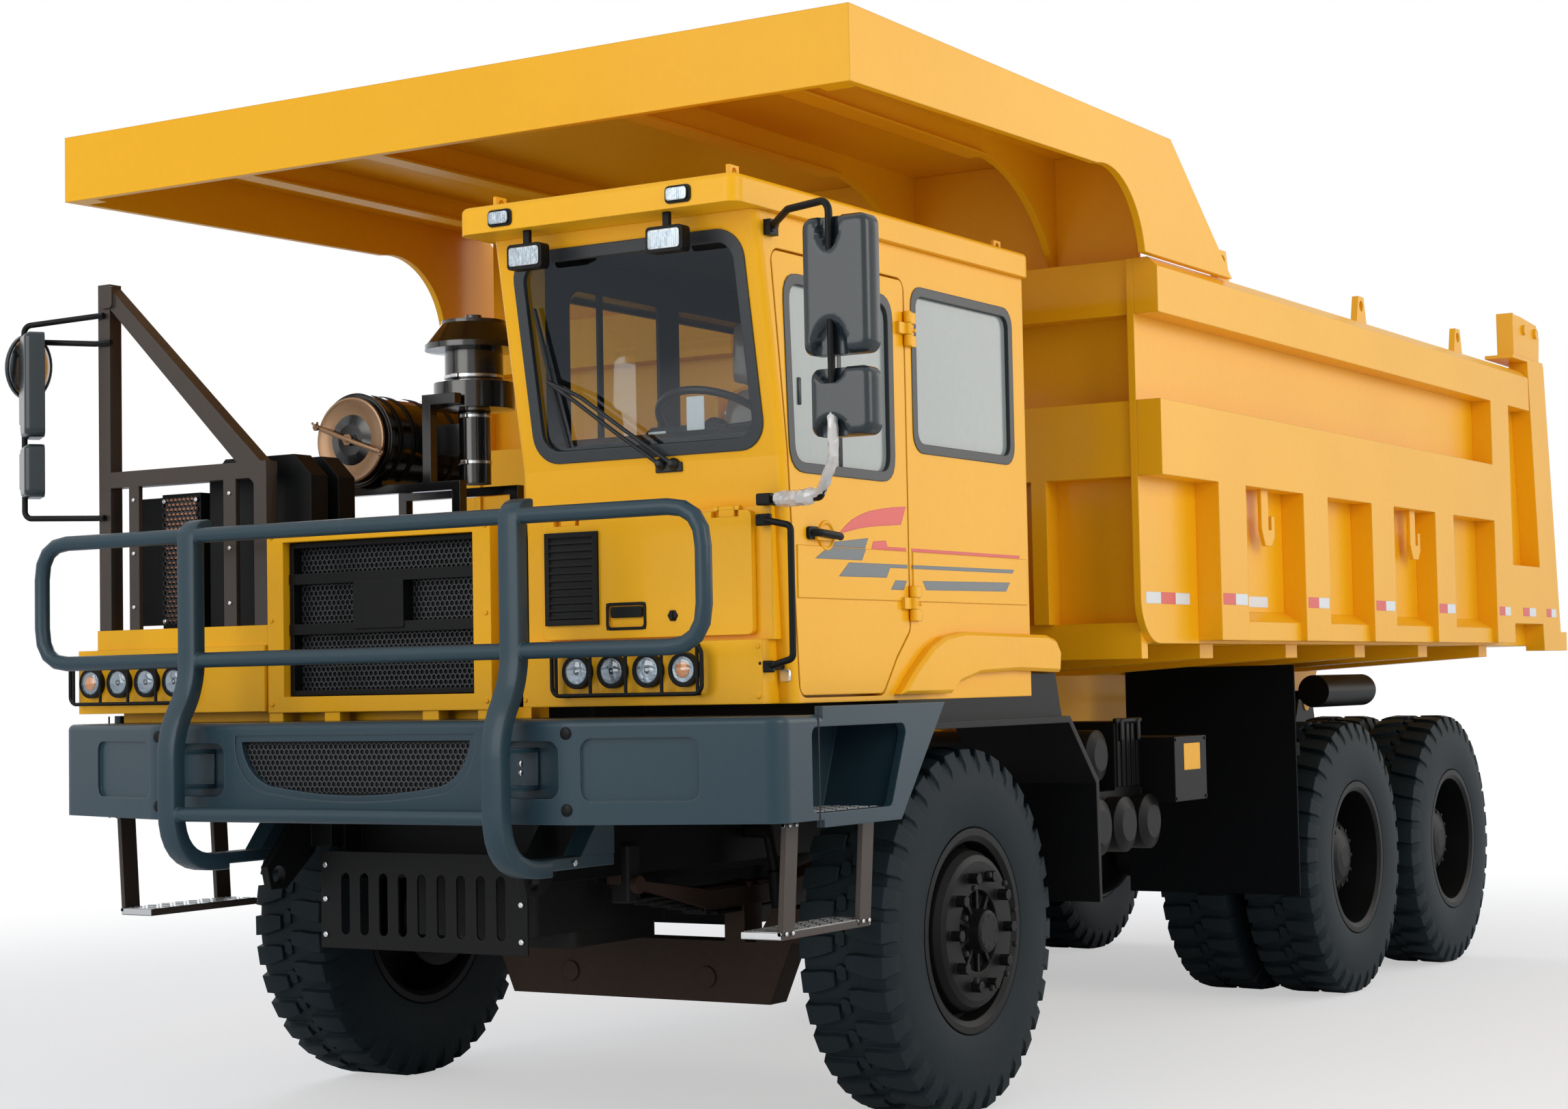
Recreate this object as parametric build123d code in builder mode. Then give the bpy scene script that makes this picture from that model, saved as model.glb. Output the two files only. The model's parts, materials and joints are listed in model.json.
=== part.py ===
"""Mining dump truck with a protective canopy over its offset cab.

Axes while drawing: X across (the truck's left is +X), Y rearward from the front axle, Z up from the ground.
Every sub-part is moved forward by MID_Y when it is saved, so the origin is mid-truck on the ground.
"""
from build123d import *
from math import atan2, cos, hypot, pi, sin, sqrt
import os

os.makedirs("parts", exist_ok=True)

# Main dimensions in millimetres
MID_Y = 2466
WHEELBASE = 4080
BOGIE = 1510
TYRE_RADIUS = 665
TYRE_HALF = 188
FRONT_TYRE_X = 1258
TWIN_OUTER_X = 1255
TWIN_INNER_X = 825
RIM_SEAT = 335
RIM_FLANGE = 368
RIM_HALF = 178

# Clearances: pins and sleeves that turn, seated curved faces, moving panels
RUNNING = 0.5
CURVED_GAP = 0.4
MOVING_GAP = 8

# Chassis
RAIL_X = 450
RAIL_LOW = 900
RAIL_TOP = 1260
RAIL_FRONT = -1250
KINGPIN_X = 900
TIP_Y = 6050
TIP_Z = 1400
RAIL_REAR = TIP_Y + 150

# Cab
CAB_LEFT = 1500
CAB_RIGHT = 455
CAB_FLOOR = 1505
CAB_TOP = 3075
CAB_REAR = 384
CAB_WALL = 60
CAB_FRONT_LOW = -1310
CAB_FRONT_MID = -1358
CAB_FRONT_TOP = -1500
CAB_MID_Z = 2300
CAB_CORNER = 28
ROOF_THICK = 93
DOOR_REAR = -545
DOOR_SILL = 1530
DOOR_HEAD = 2955

# Front end
FACE_Y = -1380
BUMPER_HALF = 1570
BUMPER_FRONT = -1720
BUMPER_LOW = 1133
BUMPER_TOP = 1468
UPRIGHT_X = 705
BAR_Y = BUMPER_FRONT - 20

# Dump body
BODY_HALF = 1755
RIB_DEEP = 105
PLATE_X = BODY_HALF - RIB_DEEP
PLATE = 30
BODY_FRONT = 1070
BODY_LOW = 1700
BODY_TOP = 3225
BODY_REAR_TOP = 6490
BODY_REAR_LOW = 6680
WALL_Y = BODY_FRONT + 120
CANOPY_FRONT = -1322
CANOPY_LOW = CAB_TOP + ROOF_THICK + 312
CANOPY_TOP = CANOPY_LOW + 252
GATE_PIN_Y = BODY_REAR_TOP - 70
GATE_PIN_Z = BODY_TOP + 235
GATE_PIN = 28

# Hoist: its foot and head stand equally far from the tipping pin, so it turns half as far as the body
HOIST_Y = 620
HOIST_Z = 1345
HOIST_HEAD_Z = 2700
HOIST_REACH = hypot(TIP_Y - HOIST_Y, TIP_Z - HOIST_Z)
HOIST_HEAD_Y = TIP_Y - sqrt(HOIST_REACH**2 - (HOIST_HEAD_Z - TIP_Z) ** 2)
HOIST_LEAN = atan2(HOIST_HEAD_Y - HOIST_Y, HOIST_HEAD_Z - HOIST_Z)
HOIST_LENGTH = hypot(HOIST_HEAD_Y - HOIST_Y, HOIST_HEAD_Z - HOIST_Z)
HOIST_PIN = 30
HOIST_EAR = (75, 105)


def slab_x(points, x0, x1, corner=0, mode=Mode.ADD):
    """Extrude a side outline of (Y, Z) points across the truck."""
    with BuildSketch(Plane.YZ.offset(x0)) as outline:
        Polygon(*points, align=None)
        if corner:
            fillet(outline.vertices(), corner)
    extrude(outline.sketch, amount=x1 - x0, mode=mode)


def slab_y(points, y0, y1, corner=0, mode=Mode.ADD):
    """Extrude a front outline of (X, Z) points along the truck."""
    with BuildSketch(Plane.XZ.offset(-y1)) as outline:
        Polygon(*points, align=None)
        if corner:
            fillet(outline.vertices(), corner)
    extrude(outline.sketch, amount=y1 - y0, mode=mode)


def slab_z(points, z0, z1, corner=0, mode=Mode.ADD):
    """Extrude a plan outline of (X, Y) points upward."""
    with BuildSketch(Plane.XY.offset(z0)) as outline:
        Polygon(*points, align=None)
        if corner:
            fillet(outline.vertices(), corner)
    extrude(outline.sketch, amount=z1 - z0, mode=mode)


def rect(a0, a1, b0, b1):
    """Corner points of a rectangle, counter-clockwise."""
    return [(a0, b0), (a1, b0), (a1, b1), (a0, b1)]


def block(x0, x1, y0, y1, z0, z1, mode=Mode.ADD):
    """A plain rectangular piece between the given faces."""
    slab_z(rect(x0, x1, y0, y1), z0, z1, mode=mode)


def both(x0, x1):
    """The x ranges of a piece and of its mirror image."""
    return ((x0, x1), (-x1, -x0))


def rod_x(y, z, radius, x0, x1, mode=Mode.ADD):
    """A round bar or bore lying across the truck."""
    with BuildSketch(Plane.YZ.offset(x0)) as section:
        with Locations((y, z)):
            Circle(radius)
    extrude(section.sketch, amount=x1 - x0, mode=mode)


def rod_y(x, z, radius, y0, y1, mode=Mode.ADD):
    """A round bar or bore lying along the truck."""
    with BuildSketch(Plane.XZ.offset(-y1)) as section:
        with Locations((x, z)):
            Circle(radius)
    extrude(section.sketch, amount=y1 - y0, mode=mode)


def rod_z(x, y, radius, z0, z1, mode=Mode.ADD):
    """An upright round bar or bore."""
    with BuildSketch(Plane.XY.offset(z0)) as section:
        with Locations((x, y)):
            Circle(radius)
    extrude(section.sketch, amount=z1 - z0, mode=mode)


def pipe(points, radius, bend, closed=False):
    """A round tube solid along points, with bends of one radius."""
    with BuildLine() as route:
        if bend:
            FilletPolyline(*points, radius=bend, close=closed)
        else:
            Polyline(*points)
    with BuildSketch(Plane(origin=route.line @ 0, z_dir=route.line % 0)) as section:
        Circle(radius)
    sweep(section.sketch, path=route.line)


def turned(points, centre, side):
    """Revolve (outward x, radius) points about an axle's line."""
    with BuildSketch(Plane(origin=centre, x_dir=(1, 0, 0), z_dir=(0, -1, 0))) as section:
        Polygon(*[(side * px, pr) for px, pr in points], align=None)
    revolve(section.sketch, axis=Axis(centre, (1, 0, 0)), revolution_arc=360)


def spun(points, x, y):
    """Revolve (radius, height) points about an upright line."""
    with BuildSketch(Plane(origin=(x, y, 0), x_dir=(1, 0, 0), z_dir=(0, -1, 0))) as section:
        Polygon(*points, align=None)
    revolve(section.sketch, axis=Axis((x, y, 0), (0, 0, 1)), revolution_arc=360)


def save(piece, name):
    """Move a sub-part to the shared origin and write its file."""
    placed = piece.moved(Location((0, -MID_Y, 0)))
    placed.label = name
    export_step(placed, f"parts/{name}.step")


# Chassis: two channel rails joined by cross members, with the brackets of the tipping pivot
RAIL_WEB = 12
RAIL_FLANGE = 90
RAIL_INNER = RAIL_X - RAIL_WEB
CROSS_HALF = 60
CROSS_MEMBERS = (RAIL_FRONT + 150, HOIST_Y, 1700, 2700, WHEELBASE - 750, WHEELBASE + BOGIE / 2, TIP_Y - 100)
PIVOT_PLATE = 30
PIVOT_PIN = 45
END_PLATE = 12
END_DROP = 60
TOW_HOLE_Z = RAIL_LOW + 100
TOW_HOLE = 45
with BuildPart() as frame_rails:
    for side in (1, -1):
        web = side * RAIL_X
        inner = side * RAIL_INNER
        toe = side * (RAIL_X - RAIL_FLANGE)
        channel = [
            (web, RAIL_LOW), (web, RAIL_TOP), (toe, RAIL_TOP), (toe, RAIL_TOP - RAIL_WEB),
            (inner, RAIL_TOP - RAIL_WEB), (inner, RAIL_LOW + RAIL_WEB), (toe, RAIL_LOW + RAIL_WEB),
            (toe, RAIL_LOW),
        ]
        slab_y(channel, RAIL_FRONT, RAIL_REAR)
    for station in CROSS_MEMBERS:
        block(-RAIL_INNER, RAIL_INNER, station - CROSS_HALF, station + CROSS_HALF, RAIL_LOW + CROSS_HALF,
              RAIL_TOP - CROSS_HALF)
    for x0, x1 in both(RAIL_X - PIVOT_PLATE, RAIL_X):
        ear = [(TIP_Y - 190, RAIL_TOP - 5), (RAIL_REAR, RAIL_TOP - 5), (TIP_Y + 90, TIP_Z + 70),
               (TIP_Y - 90, TIP_Z + 70)]
        slab_x(ear, x0, x1)
    rod_x(TIP_Y, TIP_Z, PIVOT_PIN + RUNNING, -RAIL_X, RAIL_X, mode=Mode.SUBTRACT)
    block(-RAIL_X, RAIL_X, RAIL_REAR - END_PLATE, RAIL_REAR + END_PLATE, RAIL_LOW - END_DROP, RAIL_TOP)
    rod_y(0, TOW_HOLE_Z, TOW_HOLE, RAIL_REAR - 20, RAIL_REAR + 20, mode=Mode.SUBTRACT)
save(frame_rails.part, "frame_rails")

# Engine and gearbox as one plain mass on its mounts, with the radiator and the coolers behind the grille
ENGINE_HALF = 330
ENGINE_FRONT = -780
ENGINE_REAR = 380
ENGINE_TOP = 1720
with BuildPart() as engine:
    block(-ENGINE_HALF, ENGINE_HALF, ENGINE_FRONT, ENGINE_REAR, RAIL_LOW - 40, ENGINE_TOP)
    block(-ENGINE_HALF + 100, ENGINE_HALF - 100, ENGINE_REAR - 1, HOIST_Y - 110, RAIL_LOW + 20, RAIL_TOP + 70)
    for x0, x1 in both(ENGINE_HALF - 1, RAIL_X - 45):
        for station in (ENGINE_FRONT + 220, ENGINE_REAR - 220):
            block(x0, x1, station - 60, station + 60, RAIL_TOP, RAIL_TOP + 60)
save(engine.part, "engine")

DECK_TOP = 1816
COOLER_X = (-1061, -564)
COOLER_SHOULDER = 80
COOLER_TOP = 2440
SIDE_COOLER_X = (-1282, -1088)
with BuildPart() as radiator:
    block(-620, ENGINE_HALF, FACE_Y + 80, FACE_Y + 300, BUMPER_TOP + 38, 2140)
    block(*SIDE_COOLER_X, FACE_Y + 90, FACE_Y + 190, DECK_TOP, COOLER_TOP - 118)
    for station in (FACE_Y + 110, FACE_Y + 260):
        arch = [(COOLER_X[0], DECK_TOP), (COOLER_X[1], DECK_TOP), (COOLER_X[1], COOLER_TOP - COOLER_SHOULDER),
                (COOLER_X[1] - COOLER_SHOULDER, COOLER_TOP), (COOLER_X[0] + COOLER_SHOULDER, COOLER_TOP),
                (COOLER_X[0], COOLER_TOP - COOLER_SHOULDER)]
        slab_y(arch, station, station + 90)
    block(COOLER_X[0] + 60, COOLER_X[1] - 60, FACE_Y + 199, FACE_Y + 261, DECK_TOP, COOLER_TOP - 200)
save(radiator.part, "radiator")

# Front axle: a dropped beam with round plugs in its web, and the leaf springs on its pads
BEAM_HALF = 58
BEAM_LOW = 367
BEAM_TOP = 600
BEAM_EYE_TOP = 730
BEAM_DROP_X = 600
KINGPIN = 34
PLUG_X = 320
SPRING_X = (395, 505)
SPRING_HALF = 760
with BuildPart() as front_axle:
    eye = KINGPIN_X - 20
    beam = [(-eye, BEAM_TOP), (-BEAM_DROP_X - 100, BEAM_TOP), (-BEAM_DROP_X, BEAM_LOW), (BEAM_DROP_X, BEAM_LOW),
            (BEAM_DROP_X + 100, BEAM_TOP), (eye, BEAM_TOP), (eye, BEAM_EYE_TOP),
            (BEAM_DROP_X + 20, BEAM_EYE_TOP), (BEAM_DROP_X - 60, BEAM_TOP), (60 - BEAM_DROP_X, BEAM_TOP),
            (-BEAM_DROP_X - 20, BEAM_EYE_TOP), (-eye, BEAM_EYE_TOP)]
    slab_y(beam, -BEAM_HALF, BEAM_HALF)
    for side in (1, -1):
        rod_z(side * KINGPIN_X, 0, 60, BEAM_TOP, BEAM_EYE_TOP)
        rod_z(side * KINGPIN_X, 0, KINGPIN, BEAM_TOP - 60, BEAM_EYE_TOP + 60)
        rod_y(side * PLUG_X, BEAM_LOW + 93, 40, -BEAM_HALF - 8, BEAM_HALF + 8)
    for x0, x1 in both(*SPRING_X):
        leaves = [(-SPRING_HALF, 850), (-300, 740), (300, 740), (SPRING_HALF, 850), (SPRING_HALF, 880),
                  (300, 812), (-300, 812), (-SPRING_HALF, 880)]
        slab_x(leaves, x0, x1)
        slab_x([(-420, 820), (420, 820), (300, 806), (-300, 806)], x0 + 8, x1 - 8)
        for station in (-SPRING_HALF, SPRING_HALF):
            rod_x(station, 866, 32, x0, x1)
        block(x0 + 10, x1 - 10, -62, 62, BEAM_TOP - 1, 741)
        for station in (-44, 44):
            block(x0 - 12, x1 + 12, station - 9, station + 9, 806, 826)
    for x0, x1 in both(SPRING_X[0], RAIL_X):
        for station in (-SPRING_HALF, SPRING_HALF):
            block(x0, x1, station - 50, station + 50, 868, RAIL_LOW)
save(front_axle.part, "front_axle")

# Rear tandem: two axle housings, spindles, springs and the trunnion between them
AXLES = (WHEELBASE, WHEELBASE + BOGIE)
SPINDLE = 74
SPINDLE_END = 1110
HOUSING = 120
DIFFERENTIAL = 225
with BuildPart() as rear_axles:
    for station in AXLES:
        rod_x(station, TYRE_RADIUS, HOUSING, -560, 560)
        rod_x(station, TYRE_RADIUS, SPINDLE, -SPINDLE_END, SPINDLE_END)
        with Locations((0, station, TYRE_RADIUS)):
            Sphere(DIFFERENTIAL)
        rod_y(0, TYRE_RADIUS, HOUSING - 10, station - 300, station)
    for x0, x1 in both(RAIL_X + 5, RAIL_X + 125):
        near, far = AXLES
        spring = [(near - 90, 700), (near + 90, 700), (near + 400, 830), (far - 400, 830), (far - 90, 700),
                  (far + 90, 700), (far + 90, 760), (far - 60, 800), (far - 380, 960), (near + 380, 960),
                  (near + 60, 800), (near - 90, 760)]
        slab_x(spring, x0, x1)
    for x0, x1 in both(RAIL_X, RAIL_X + 125):
        block(x0, x1, AXLES[0] + 600, AXLES[1] - 600, 940, 1130)
    rod_x(AXLES[0] + BOGIE / 2, 835, 60, -RAIL_X - 10, RAIL_X + 10)
save(rear_axles.part, "rear_axles")

# Bumper: a hollow shell with a swept plan and rounded edges, recessed end panels and side wraps with steps
SHELL = 30
SWEEP_X = 905
SWEEP_Y = BUMPER_FRONT + 205
SHELL_REAR = RAIL_FRONT
WRAP_LOW = BUMPER_LOW - 25
WRAP_TOP = BUMPER_TOP + 27
WRAP_REAR_TOP = -433
WRAP_REAR_LOW = -757
EDGE_ROUND = 22
MOUTH_Z = (1222, 1404)
MOUTH_HALF = 500
PANEL_X = (905, 1299)
PANEL_Z = (1207, 1407)
PANEL_DEEP = 12
STEP_WIDE = 280
BRACKET_SLOT_X = (575, 860)
BRACKET_SLOT_Z = (1215, 1400)
BRACKET_DEEP = 60


def bumper_plan(inset, corner):
    """Plan of the bumper's face, moved inward by an inset."""
    half = BUMPER_HALF - inset
    points = [(-half, SHELL_REAR + inset), (-half, SWEEP_Y + inset), (-SWEEP_X, BUMPER_FRONT + inset),
              (SWEEP_X, BUMPER_FRONT + inset), (half, SWEEP_Y + inset), (half, SHELL_REAR + inset)]
    with BuildSketch() as plan:
        Polygon(*points, align=None)
        fillet(plan.vertices().group_by(Axis.Y)[0], 3 * corner)
        fillet(plan.vertices().filter_by(lambda v: abs(v.Y - SWEEP_Y - inset) < 1), corner)
    return plan.sketch


def mouth(grow):
    """Half-moon air opening of the bumper, in its own front plane."""
    half = MOUTH_HALF + grow
    low = MOUTH_Z[0] - grow
    top = MOUTH_Z[1] + grow
    with BuildSketch(Plane.XZ) as opening:
        with BuildLine():
            Line((-half, top), (half, top))
            ThreePointArc((half, top), (half - 48, low + 78), (half - 160, low + 26))
            ThreePointArc((half - 160, low + 26), (0, low), (160 - half, low + 26))
            ThreePointArc((160 - half, low + 26), (48 - half, low + 78), (-half, top))
        make_face()
    return opening.sketch


with BuildPart() as bumper:
    extrude(bumper_plan(0, 70).moved(Location((0, 0, BUMPER_LOW))), amount=BUMPER_TOP - BUMPER_LOW)
    top_edges = bumper.edges().group_by(Axis.Z)[-1].filter_by(lambda e: e.center().Y < SHELL_REAR - 1)
    fillet(top_edges, EDGE_ROUND)
    hollow = bumper_plan(SHELL, 40)
    extrude(hollow.moved(Location((0, 0, BUMPER_LOW + 12))), amount=BUMPER_TOP - BUMPER_LOW - 12 - SHELL,
            mode=Mode.SUBTRACT)
    block(-BUMPER_HALF + SHELL, BUMPER_HALF - SHELL, SHELL_REAR - 1, SHELL_REAR + SHELL + 1, BUMPER_LOW + 12,
          BUMPER_TOP - SHELL, mode=Mode.SUBTRACT)
    block(-1200, 1200, BUMPER_FRONT + 160, RAIL_FRONT + 50, BUMPER_LOW - 5, BUMPER_LOW + 20,
          mode=Mode.SUBTRACT)
    for x0, x1 in both(BUMPER_HALF - SHELL, BUMPER_HALF):
        wrap = [(SHELL_REAR - 10, WRAP_LOW), (WRAP_REAR_LOW, WRAP_LOW), (WRAP_REAR_TOP, WRAP_TOP),
                (SHELL_REAR - 10, WRAP_TOP)]
        slab_x(wrap, x0, x1)
        slab_x([(-1331, 1155), (-820, 1155), (-700, 1430), (-1331, 1430)], x0 - 1, x1 + 1, corner=30,
               mode=Mode.SUBTRACT)
    for x0, x1 in both(BUMPER_HALF - STEP_WIDE, BUMPER_HALF - 1):
        block(x0, x1, SHELL_REAR - 10, WRAP_REAR_LOW + 20, BUMPER_LOW, BUMPER_LOW + 17)
    extrude(mouth(0).moved(Location((0, BUMPER_FRONT - 1, 0))), amount=-60, mode=Mode.SUBTRACT)
    extrude(mouth(22).moved(Location((0, BUMPER_FRONT - 1, 0))), amount=-8, mode=Mode.SUBTRACT)
    slope = atan2(SWEEP_Y - BUMPER_FRONT, BUMPER_HALF - SWEEP_X)
    panel_mid = (PANEL_X[0] + PANEL_X[1]) / 2 + 25
    for side in (1, -1):
        origin = (side * panel_mid, BUMPER_FRONT + (panel_mid - SWEEP_X) * sin(slope) / cos(slope),
                  (PANEL_Z[0] + PANEL_Z[1]) / 2)
        facing = Plane(origin=origin, x_dir=(side * cos(slope), sin(slope), 0),
                       z_dir=(side * sin(slope), -cos(slope), 0))
        with BuildSketch(facing) as panel:
            RectangleRounded(PANEL_X[1] - PANEL_X[0], PANEL_Z[1] - PANEL_Z[0], 38)
        extrude(panel.sketch, amount=PANEL_DEEP, both=True, mode=Mode.SUBTRACT)
    for x0, x1 in both(*BRACKET_SLOT_X):
        slab_y(rect(x0, x1, *BRACKET_SLOT_Z), BUMPER_FRONT - 5, BUMPER_FRONT + BRACKET_DEEP, corner=40,
               mode=Mode.SUBTRACT)
        block(x0 - 15, x1 + 15, BUMPER_FRONT + BRACKET_DEEP, BUMPER_FRONT + BRACKET_DEEP + 12, BUMPER_LOW + 11,
              BUMPER_TOP - SHELL + 1)
    for x0, x1 in both(RAIL_INNER, RAIL_X + 140):
        block(x0, x1, BUMPER_FRONT + SHELL - 1, RAIL_FRONT, BUMPER_LOW + 12, RAIL_TOP)
    slab_y(rect(-525, 525, 1205, 1425), BUMPER_FRONT + SHELL, BUMPER_FRONT + SHELL + 20,
           mode=Mode.SUBTRACT)
save(bumper.part, "bumper")

with BuildPart() as bumper_grille:
    slab_y(rect(-520, 520, 1210, 1420), BUMPER_FRONT + SHELL, BUMPER_FRONT + SHELL + 8)
save(bumper_grille.part, "bumper_grille")

# Bull bar: two curved uprights on channel brackets, a closed tube loop and the lower tube
UPRIGHT_HALF = 40
BAR_TOP = 2125
BAR_MID = 1690
BAR_HALF = BUMPER_HALF - 130
KNEE_Y = BAR_Y - 103
FOOT_Z = BUMPER_LOW - 158
BRACKET_Z = (BRACKET_SLOT_Z[0] + 35, BRACKET_SLOT_Z[1] - 30)
with BuildPart() as bull_bar:
    for side in (1, -1):
        with BuildSketch(Plane.YZ.offset(side * UPRIGHT_X - UPRIGHT_HALF)) as upright:
            with BuildLine() as spine:
                FilletPolyline((BAR_Y + 60, BAR_TOP + 29), (BAR_Y, BAR_TOP + 29), (BAR_Y, BAR_MID - 90),
                               (KNEE_Y, BAR_MID - 250), (KNEE_Y, FOOT_Z + 115), (BAR_Y + 40, FOOT_Z + 10),
                               (BAR_Y + 140, FOOT_Z + 10), radius=45)
            trace(spine.line, 60)
        extrude(upright.sketch, amount=2 * UPRIGHT_HALF)
        x0 = side * UPRIGHT_X - UPRIGHT_HALF + 4
        x1 = side * UPRIGHT_X + UPRIGHT_HALF - 4
        for z in BRACKET_Z:
            block(x0, x1, KNEE_Y + 23, BUMPER_FRONT + BRACKET_DEEP, z - 8, z + 8)
        block(x0, x1, BUMPER_FRONT + BRACKET_DEEP - 10, BUMPER_FRONT + BRACKET_DEEP, *BRACKET_Z)
        block(x0, x1, BAR_Y + 100, RAIL_FRONT, FOOT_Z, FOOT_Z + 40)
        slab_x([(BAR_Y + 300, FOOT_Z + 39), (RAIL_FRONT, FOOT_Z + 39), (RAIL_FRONT, BUMPER_LOW),
                (RAIL_FRONT - 90, BUMPER_LOW)], x0, x1)
    pipe([(BAR_HALF, BAR_Y, BAR_TOP), (BAR_HALF, BAR_Y, BAR_MID), (-BAR_HALF, BAR_Y, BAR_MID),
          (-BAR_HALF, BAR_Y, BAR_TOP)], 27, 130, closed=True)
    rod_x(KNEE_Y, BUMPER_LOW + 27, 25, -UPRIGHT_X, UPRIGHT_X)
save(bull_bar.part, "bull_bar")

# Ladder steps hung under the bumper ends, one on each side
LADDER_X = BUMPER_HALF - 103
LEG_LEAN = 23
LADDER_LOW = BUMPER_LOW - 373
with BuildPart() as ladders:
    for side in (1, -1):
        for station in (-1305, -815):
            top = side * LADDER_X
            low = side * (LADDER_X - LEG_LEAN)
            leg = [(top - 9, BUMPER_LOW), (top + 9, BUMPER_LOW), (low + 9, LADDER_LOW), (low - 9, LADDER_LOW)]
            slab_y(leg, station - 38, station + 38)
    for x0, x1 in both(LADDER_X - 167, LADDER_X - 17):
        block(x0, x1, -1343, -777, LADDER_LOW - 8, LADDER_LOW + 15)
save(ladders.part, "ladders")

# Slotted plate that guards the sump from the front, and the two towing eyes beside it
GUARD_Y = -1360
EYE_Y = -1480
EYE_Z = BUMPER_LOW - 203
EYE_BORE = 32
SLOT_PITCH = 86
with BuildPart() as guard:
    slab_y(rect(-455, 455, 668, 1008), GUARD_Y, GUARD_Y + 10)
    for row in range(9):
        x = (row - 4) * SLOT_PITCH
        slab_y(rect(x - 20, x + 20, 716, 934), GUARD_Y - 5, GUARD_Y + 15, corner=19.9, mode=Mode.SUBTRACT)
    for x0, x1 in both(380, RAIL_X):
        block(x0, x1, GUARD_Y + 9, RAIL_FRONT, RAIL_LOW + 5, RAIL_LOW + 105)
    for x0, x1 in both(545, 575):
        eye = [(EYE_Y - 40, EYE_Z - 50), (EYE_Y + 40, EYE_Z - 50), (EYE_Y + 190, EYE_Z + 70),
               (EYE_Y + 240, EYE_Z + 190), (EYE_Y + 80, EYE_Z + 190), (EYE_Y - 60, EYE_Z + 30)]
        slab_x(eye, x0, x1)
        rod_x(EYE_Y, EYE_Z, EYE_BORE, x0, x1, mode=Mode.SUBTRACT)
    for x0, x1 in both(RAIL_X, 576):
        block(x0, x1, RAIL_FRONT - 60, RAIL_FRONT + 50, EYE_Z + 90, EYE_Z + 190)
save(guard.part, "guard")

# Cab: one hollow welded shell with rounded front corners, window and door openings and a pressed band
DOOR_EDGE = [(-1277, DOOR_SILL), (-1325, CAB_MID_Z), (-1410, DOOR_HEAD), (DOOR_REAR, DOOR_HEAD),
             (DOOR_REAR, 1745), (DOOR_REAR - 95, 1655), (DOOR_REAR - 195, DOOR_SILL)]
REAR_SIDE_WINDOW = rect(-481, 276, 2373, 2935)
REAR_WINDOW = rect(600, 1360, CAB_MID_Z, 2950)
RIGHT_WINDOW = rect(-1150, 200, 2350, 2935)
DOOR_WINDOW = [(-1305, 2262), (-640, 2262), (-640, 2880), (-1332, 2880)]
SCREEN = rect(540, 1428, 2335, 3010)
SCREEN_ROUND = 85
WINDOW_ROUND = 60
GLASS = 8
GLASS_IN = 14
BAND_Z = (1844, 2014)
BAND = 4
HINGE_X = CAB_LEFT + 15
HINGE_Y = DOOR_REAR + MOVING_GAP / 2
HINGE_HEIGHTS = (1836, 2788)
HINGE_RING = 14
HINGE_PIN = 8
HINGE_HALF = 60
HINGE_MID = 20


def cab_face(z):
    """Where the cab's front face stands at a height."""
    if z < CAB_MID_Z:
        return CAB_FRONT_LOW + (CAB_FRONT_MID - CAB_FRONT_LOW) * (z - CAB_FLOOR) / (CAB_MID_Z - CAB_FLOOR)
    return CAB_FRONT_MID + (CAB_FRONT_TOP - CAB_FRONT_MID) * (z - CAB_MID_Z) / (CAB_TOP - CAB_MID_Z)


def door_slab(grow, corner, x0, x1, mode=Mode.ADD):
    """The door's outline, grown by a gap, as a slab across the cab's side."""
    with BuildSketch(Plane.YZ.offset(x0)) as outline:
        Polygon(*DOOR_EDGE, align=None)
        fillet(outline.vertices(), corner)
        if grow:
            offset(amount=grow)
    extrude(outline.sketch, amount=x1 - x0, mode=mode)


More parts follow.
